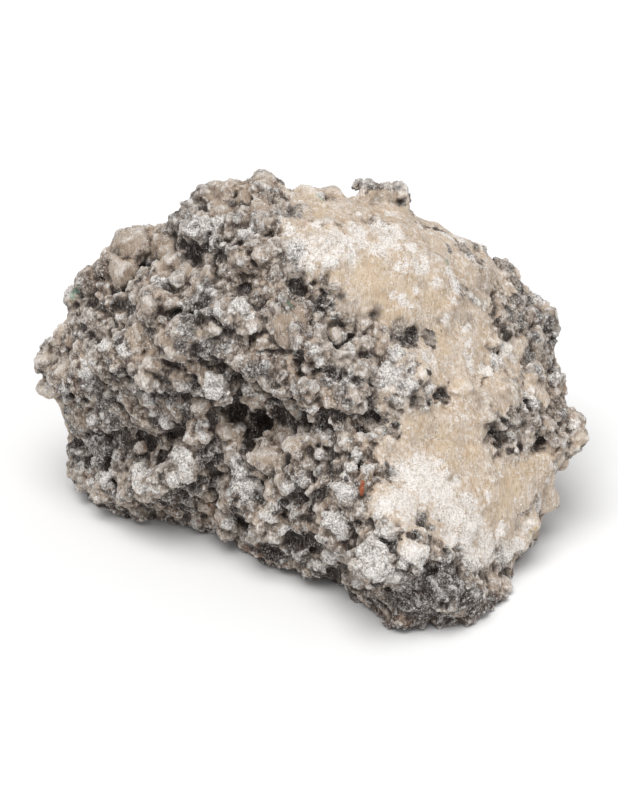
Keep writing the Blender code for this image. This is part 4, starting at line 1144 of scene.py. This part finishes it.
stoneLook = {
    "mottles": {  # size in mm, and between which values of its noise each fades in
        "broad": (6.0, 0.35, 0.65), "middle": (1.6, 0.35, 0.65), "fine": (0.55, 0.38, 0.62),
        "small": (1.1, 0.48, 0.62), "medium": (3.0, 0.42, 0.66), "druse": (4.0, 0.46, 0.58),
    },
    "dustSize": 0.55,  # over the size of the grains
    "fibreWidth": 0.3,  # mm
    "edges": {  # nearness over which each kind sets in
        "tan": (0.15, 0.55), "gold": (0.0, 1.0), "crust": (0.2, 0.5), "taupe": (0.0, 1.0),
        "charcoal": (0.08, 0.5), "rust": (0.25, 0.8), "broken": (0.2, 1.0), "frost": (0.0, 0.95),
        # hollow sets where the painted shade fills the hollows
        "hollow": (0.05, 0.7, 0.0, 0.95), "green": (0.3, 0.9, 0.0, 0.6), "yellow": (0.3, 0.9, 0.0, 0.6),
    },
    "rock": ((0.35, 0.65), (0.18, 0.78)),  # of mottle and own tone, from dark to pale
    "wobble": (0.3, 0.2, 0.25),  # of middle and broad mottle, and what evens them out
    "ragged": (0.5, 0.3, 0.6),  # of small and fine mottle, and what is there without them
    "clouds": (0.5, 0.5),  # of middle and broad mottle in the crust
    "crustFrost": 0.4,
    "crustTaupe": 0.35,
    "gold": 0.65,
    "taupe": 0.8,
    "frostEdge": (0.5, 0.6, 0.6),  # of fine and small mottle, and what is there without them
    "frostWobble": 0.8,
    "frostMost": (-0.25, 0.98),  # what the crust takes away, and the most anywhere
    "tips": (0.25, (0.65, 1.15, 0.0, 0.6)),  # of fine mottle, and how painted highlight makes the tips pale
    "knobs": (0.62, 1.0, 0.0, 0.3),  # how painted highlight makes knobs pale where they stand high and face up
    "gaps": (0.5, 0.08, 0.0, 0.92),  # how painted shade darkens the gaps between knobs, what lies deep and what faces down
    "paintedPitShade": (0.5, 0.0, 0.0, 0.6),  # how painted shade darkens the gaps between grains
    "speckle": (0.9, 0.1),  # with druse, and anywhere, for the painted shade between grains and the glinting grains
    "paintedGrainGapShade": (-0.45, 0.6),  # painted shade between grains: what smooth stone takes away, and the most anywhere
    "fibreDark": 0.4,
    "fibrePale": (-0.15, 0.4),
    "roughness": (0.95, 0.45),
    "relief": (0.4, 0.5),  # of dust and of fine mottle, beside the grains
    "bump": ((0.4, 0.6), (-0.5, 1.0)),  # with druse and anywhere, smooth stone and anywhere
}


def times(tree, first, second):
    return calc(tree, "MULTIPLY", first, second)


def scaled(tree, value, factor, offset):
    return calc(tree, "MULTIPLY_ADD", value, factor, offset)


def mixed(tree, first, share, second, otherShare):
    return scaled(tree, first, share, times(tree, second, otherShare))


def sharedMasks(tree):
    masks = {
        label: placeGroup(tree, mottleGroup, Size=size, Low=low, High=high).outputs[0]
        for label, (size, low, high) in stoneLook["mottles"].items()
    }
    ofMiddle, ofBroad, even = stoneLook["wobble"]
    wobble = mixed(tree, masks["middle"], ofMiddle, masks["broad"], ofBroad)
    masks["wobble"] = calc(tree, "SUBTRACT", wobble, even)
    ofSmall, ofFine, always = stoneLook["ragged"]
    masks["ragged"] = calc(tree, "ADD", mixed(tree, masks["small"], ofSmall, masks["fine"], ofFine), always)
    masks["smooth"] = ranged(tree, calc(tree, "MAXIMUM", mark(tree, "crust"), mark(tree, "tan")), *patchRim)
    grown = calc(tree, "MAXIMUM", mark(tree, "frost"), mark(tree, "charcoal"))
    masks["druse"] = calc(tree, "MAXIMUM", masks["druse"], grown)
    return masks


def rockColour(tree, masks):
    (ofMottle, ofTone), fromTo = stoneLook["rock"]
    warmth = mark(tree, "warmth")
    dark = blend(tree, warmth, colours["darkGrey"], colours["darkBrown"])
    pale = blend(tree, warmth, colours["paleGrey"], colours["paleBrown"])
    share = mixed(tree, masks["middle"], ofMottle, mark(tree, "tone"), ofTone)
    return blend(tree, ranged(tree, share, *fromTo), dark, pale)


def mineralColour(tree, masks, colour):  # tan, crust, stains, druse and frost over the rock
    def edge(kind):
        return ranged(tree, calc(tree, "ADD", mark(tree, kind), masks["wobble"]), *stoneLook["edges"][kind])

    ofMiddle, ofBroad = stoneLook["clouds"]
    clouds = mixed(tree, masks["middle"], ofMiddle, masks["broad"], ofBroad)
    crust = blend(tree, clouds, colours["crustBeige"], colours["crustCream"])
    crust = blend(tree, times(tree, masks["small"], stoneLook["crustFrost"]), crust, colours["frost"])
    crust = blend(tree, times(tree, masks["medium"], stoneLook["crustTaupe"]), crust, colours["taupe"])
    crust = blend(tree, times(tree, edge("gold"), stoneLook["gold"]), crust, colours["gold"])
    colour = blend(tree, edge("tan"), colour, colours["tan"])
    colour = blend(tree, edge("crust"), colour, crust)
    colour = blend(tree, times(tree, edge("taupe"), stoneLook["taupe"]), colour, colours["taupe"])
    druse = blend(tree, masks["fine"], colours["charcoalDark"], colours["charcoalPale"])
    druseShare = times(tree, mark(tree, "charcoal"), masks["ragged"])
    colour = blend(tree, ranged(tree, druseShare, *stoneLook["edges"]["charcoal"]), colour, druse)
    colour = blend(tree, edge("rust"), colour, colours["rust"])
    colour = blend(tree, edge("broken"), colour, colours["broken"], "MULTIPLY")
    ofFine, ofSmall, always = stoneLook["frostEdge"]
    frost = scaled(tree, masks["fine"], ofFine, scaled(tree, masks["small"], ofSmall, always))
    frost = times(tree, mark(tree, "frost"), frost)
    frost = scaled(tree, masks["wobble"], stoneLook["frostWobble"], frost)
    frost = ranged(tree, frost, *stoneLook["edges"]["frost"])
    most = scaled(tree, mark(tree, "crust"), *stoneLook["frostMost"])
    return blend(tree, times(tree, frost, most), colour, colours["frost"])


def paintedLightAndSpecksColour(tree, masks, colour):  # painted highlight where it stands out, painted shade where it lies deep, and specks
    tip, height = mark(tree, "tip"), mark(tree, "height")
    ofFine, fromTo = stoneLook["tips"]
    tipShare = ranged(tree, scaled(tree, masks["fine"], ofFine, tip), *fromTo)
    # painted highlight on the tips and on high, upward-facing knobs
    colour = blend(tree, tipShare, colour, colours["paintedHighlightAndPaleStreak"])
    colour = blend(tree, ranged(tree, height, *stoneLook["knobs"]), colour, colours["paintedHighlightAndPaleStreak"])
    # painted shade in the gaps between knobs and between grains
    colour = blend(tree, ranged(tree, height, *stoneLook["gaps"]), colour, colours["paintedShade"])
    colour = blend(tree, ranged(tree, tip, *stoneLook["paintedPitShade"]), colour, colours["paintedShade"])
    # painted shade in the hollows
    hollow = times(tree, mark(tree, "hollow"), masks["ragged"])
    colour = blend(tree, ranged(tree, hollow, *stoneLook["edges"]["hollow"]), colour, colours["paintedShade"])
    for kind in ("green", "yellow"):
        colour = blend(tree, ranged(tree, mark(tree, kind), *stoneLook["edges"][kind]), colour, colours[kind])
    return colour


def sparklingColour(tree, masks, grain, dust, sparkleShare, colour):
    tip = mark(tree, "tip")
    speckle = scaled(tree, masks["druse"], *stoneLook["speckle"])
    # painted shade in the gaps between grains
    gapShare = times(tree, grain.outputs["Gap"], scaled(tree, masks["smooth"], *stoneLook["paintedGrainGapShade"]))
    colour = blend(tree, times(tree, gapShare, speckle), colour, colours["paintedGrainGapShade"])
    # painted highlight on some grains where they stand out, as glints
    sparkShare = times(tree, ranged(tree, dust.outputs["Each"], 1 - sparkleShare, 1.0), speckle)
    colour = blend(tree, times(tree, sparkShare, tip), colour, colours["paintedHighlightAndPaleStreak"])
    fibres = placeGroup(tree, fibreGroup, Width=stoneLook["fibreWidth"])
    darkShare = times(tree, fibres.outputs["Dark"], stoneLook["fibreDark"])
    colour = blend(tree, darkShare, colour, colours["taupe"], "MULTIPLY")
    # pale fibre streaks, shown where grains stand out, partly painted highlight
    streak = times(tree, fibres.outputs["Pale"], scaled(tree, masks["smooth"], *stoneLook["fibrePale"]))
    return blend(tree, times(tree, streak, tip), colour, colours["paintedHighlightAndPaleStreak"])


def stoneRelief(tree, masks, grain, dust, bumpHeight):
    ofDust, ofFine = stoneLook["relief"]
    withDruse, withSmooth = stoneLook["bump"]
    relief = scaled(tree, dust.outputs["Height"], ofDust, grain.outputs["Height"])
    relief = scaled(tree, masks["fine"], ofFine, relief)
    steady = scaled(tree, masks["druse"], *withDruse)
    bump = tree.nodes.new("ShaderNodeBump")
    bump.inputs["Distance"].default_value = bumpHeight * mm
    strength = times(tree, scaled(tree, masks["smooth"], *withSmooth), steady)
    tree.links.new(strength, bump.inputs["Strength"])
    tree.links.new(relief, bump.inputs["Height"])
    return bump.outputs["Normal"]


def makeStoneMaterial(name, grainSize, bumpHeight, sparkleShare):
    material = bpy.data.materials.new(name)
    material.use_nodes = True
    tree = material.node_tree
    shader = tree.nodes["Principled BSDF"]
    masks = sharedMasks(tree)
    grain = placeGroup(tree, grainGroup, Size=grainSize)
    dust = placeGroup(tree, grainGroup, Size=grainSize * stoneLook["dustSize"])
    colour = mineralColour(tree, masks, rockColour(tree, masks))
    colour = paintedLightAndSpecksColour(tree, masks, colour)
    colour = sparklingColour(tree, masks, grain, dust, sparkleShare, colour)
    roughness = ranged(tree, grain.outputs["Each"], 0.0, 1.0, *stoneLook["roughness"])
    tree.links.new(colour, shader.inputs["Base Color"])
    tree.links.new(roughness, shader.inputs["Roughness"])
    tree.links.new(stoneRelief(tree, masks, grain, dust, bumpHeight), shader.inputs["Normal"])
    return material


def makeFleckMaterial():
    material = bpy.data.materials.new("rustyFleck")
    material.use_nodes = True
    tree = material.node_tree
    shader = tree.nodes["Principled BSDF"]
    size, low, high = fleck["mottle"]
    patchy = placeGroup(tree, mottleGroup, Size=size, Low=low, High=high).outputs[0]
    colour = blend(tree, patchy, colours["fleckDark"], colours["fleckPale"])
    tree.links.new(colour, shader.inputs["Base Color"])
    shader.inputs["Roughness"].default_value = fleck["roughness"]
    return material


stoneMaterial = makeStoneMaterial("crustedStone", grainSize=0.55, bumpHeight=0.22, sparkleShare=0.25)
sugarMaterial = makeStoneMaterial("sugarCrystals", grainSize=0.35, bumpHeight=0.05, sparkleShare=0.5)

for piece in skinPieces:
    piece.data.materials.append(stoneMaterial)
for piece in sugarPieces:
    piece.data.materials.append(sugarMaterial)
fleckPiece.data.materials.append(makeFleckMaterial())
for piece in skinPieces + sugarPieces + [fleckPiece]:
    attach(piece, "root")
    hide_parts("flint_nodule")
print("materials set")

# Floor and light
studio = {
    "floorSize": 3.0,
    "floorColour": (0.93, 0.93, 0.93, 1.0),
    "floorRoughness": 0.9,
    "world": 0.40,
    "lamps": (  # where each soft lamp shines from, its width in degrees and its strength
        ((-0.14, -0.30, 1.0), 46.0, 2.25),
        ((0.80, -0.60, 0.7), 70.0, 0.35),
    ),
}


def makeFloor():
    half = studio["floorSize"] / 2
    corners = np.array([(-half, -half, 0), (half, -half, 0), (half, half, 0), (-half, half, 0)])
    floor = pieceFrom("floor", meshFrom("floor", corners, [[0, 1, 2, 3]]))
    paper = bpy.data.materials.new("paper")
    paper.use_nodes = True
    shader = paper.node_tree.nodes["Principled BSDF"]
    shader.inputs["Base Color"].default_value = studio["floorColour"]
    shader.inputs["Roughness"].default_value = studio["floorRoughness"]
    shader.inputs["Specular IOR Level"].default_value = 0.0
    floor.data.materials.append(paper)


def lightStudio():
    world = bpy.data.worlds.new("softWhite")
    world.use_nodes = True
    backdrop = world.node_tree.nodes["Background"]
    backdrop.inputs["Color"].default_value = (1, 1, 1, 1)
    backdrop.inputs["Strength"].default_value = studio["world"]
    bpy.context.scene.world = world
    for number, (place, width, power) in enumerate(studio["lamps"]):
        lamp = bpy.data.lights.new(f"softLamp{number}", "SUN")
        lamp.angle = math.radians(width)
        lamp.energy = power
        holder = bpy.data.objects.new(f"softLamp{number}", lamp)
        holder.location = place
        holder.rotation_euler = (-Vector(place)).to_track_quat("-Z", "Y").to_euler()
        bpy.context.scene.collection.objects.link(holder)
    bpy.context.scene.view_settings.view_transform = "Standard"


makeFloor()
lightStudio()
print("floor and lamps set")
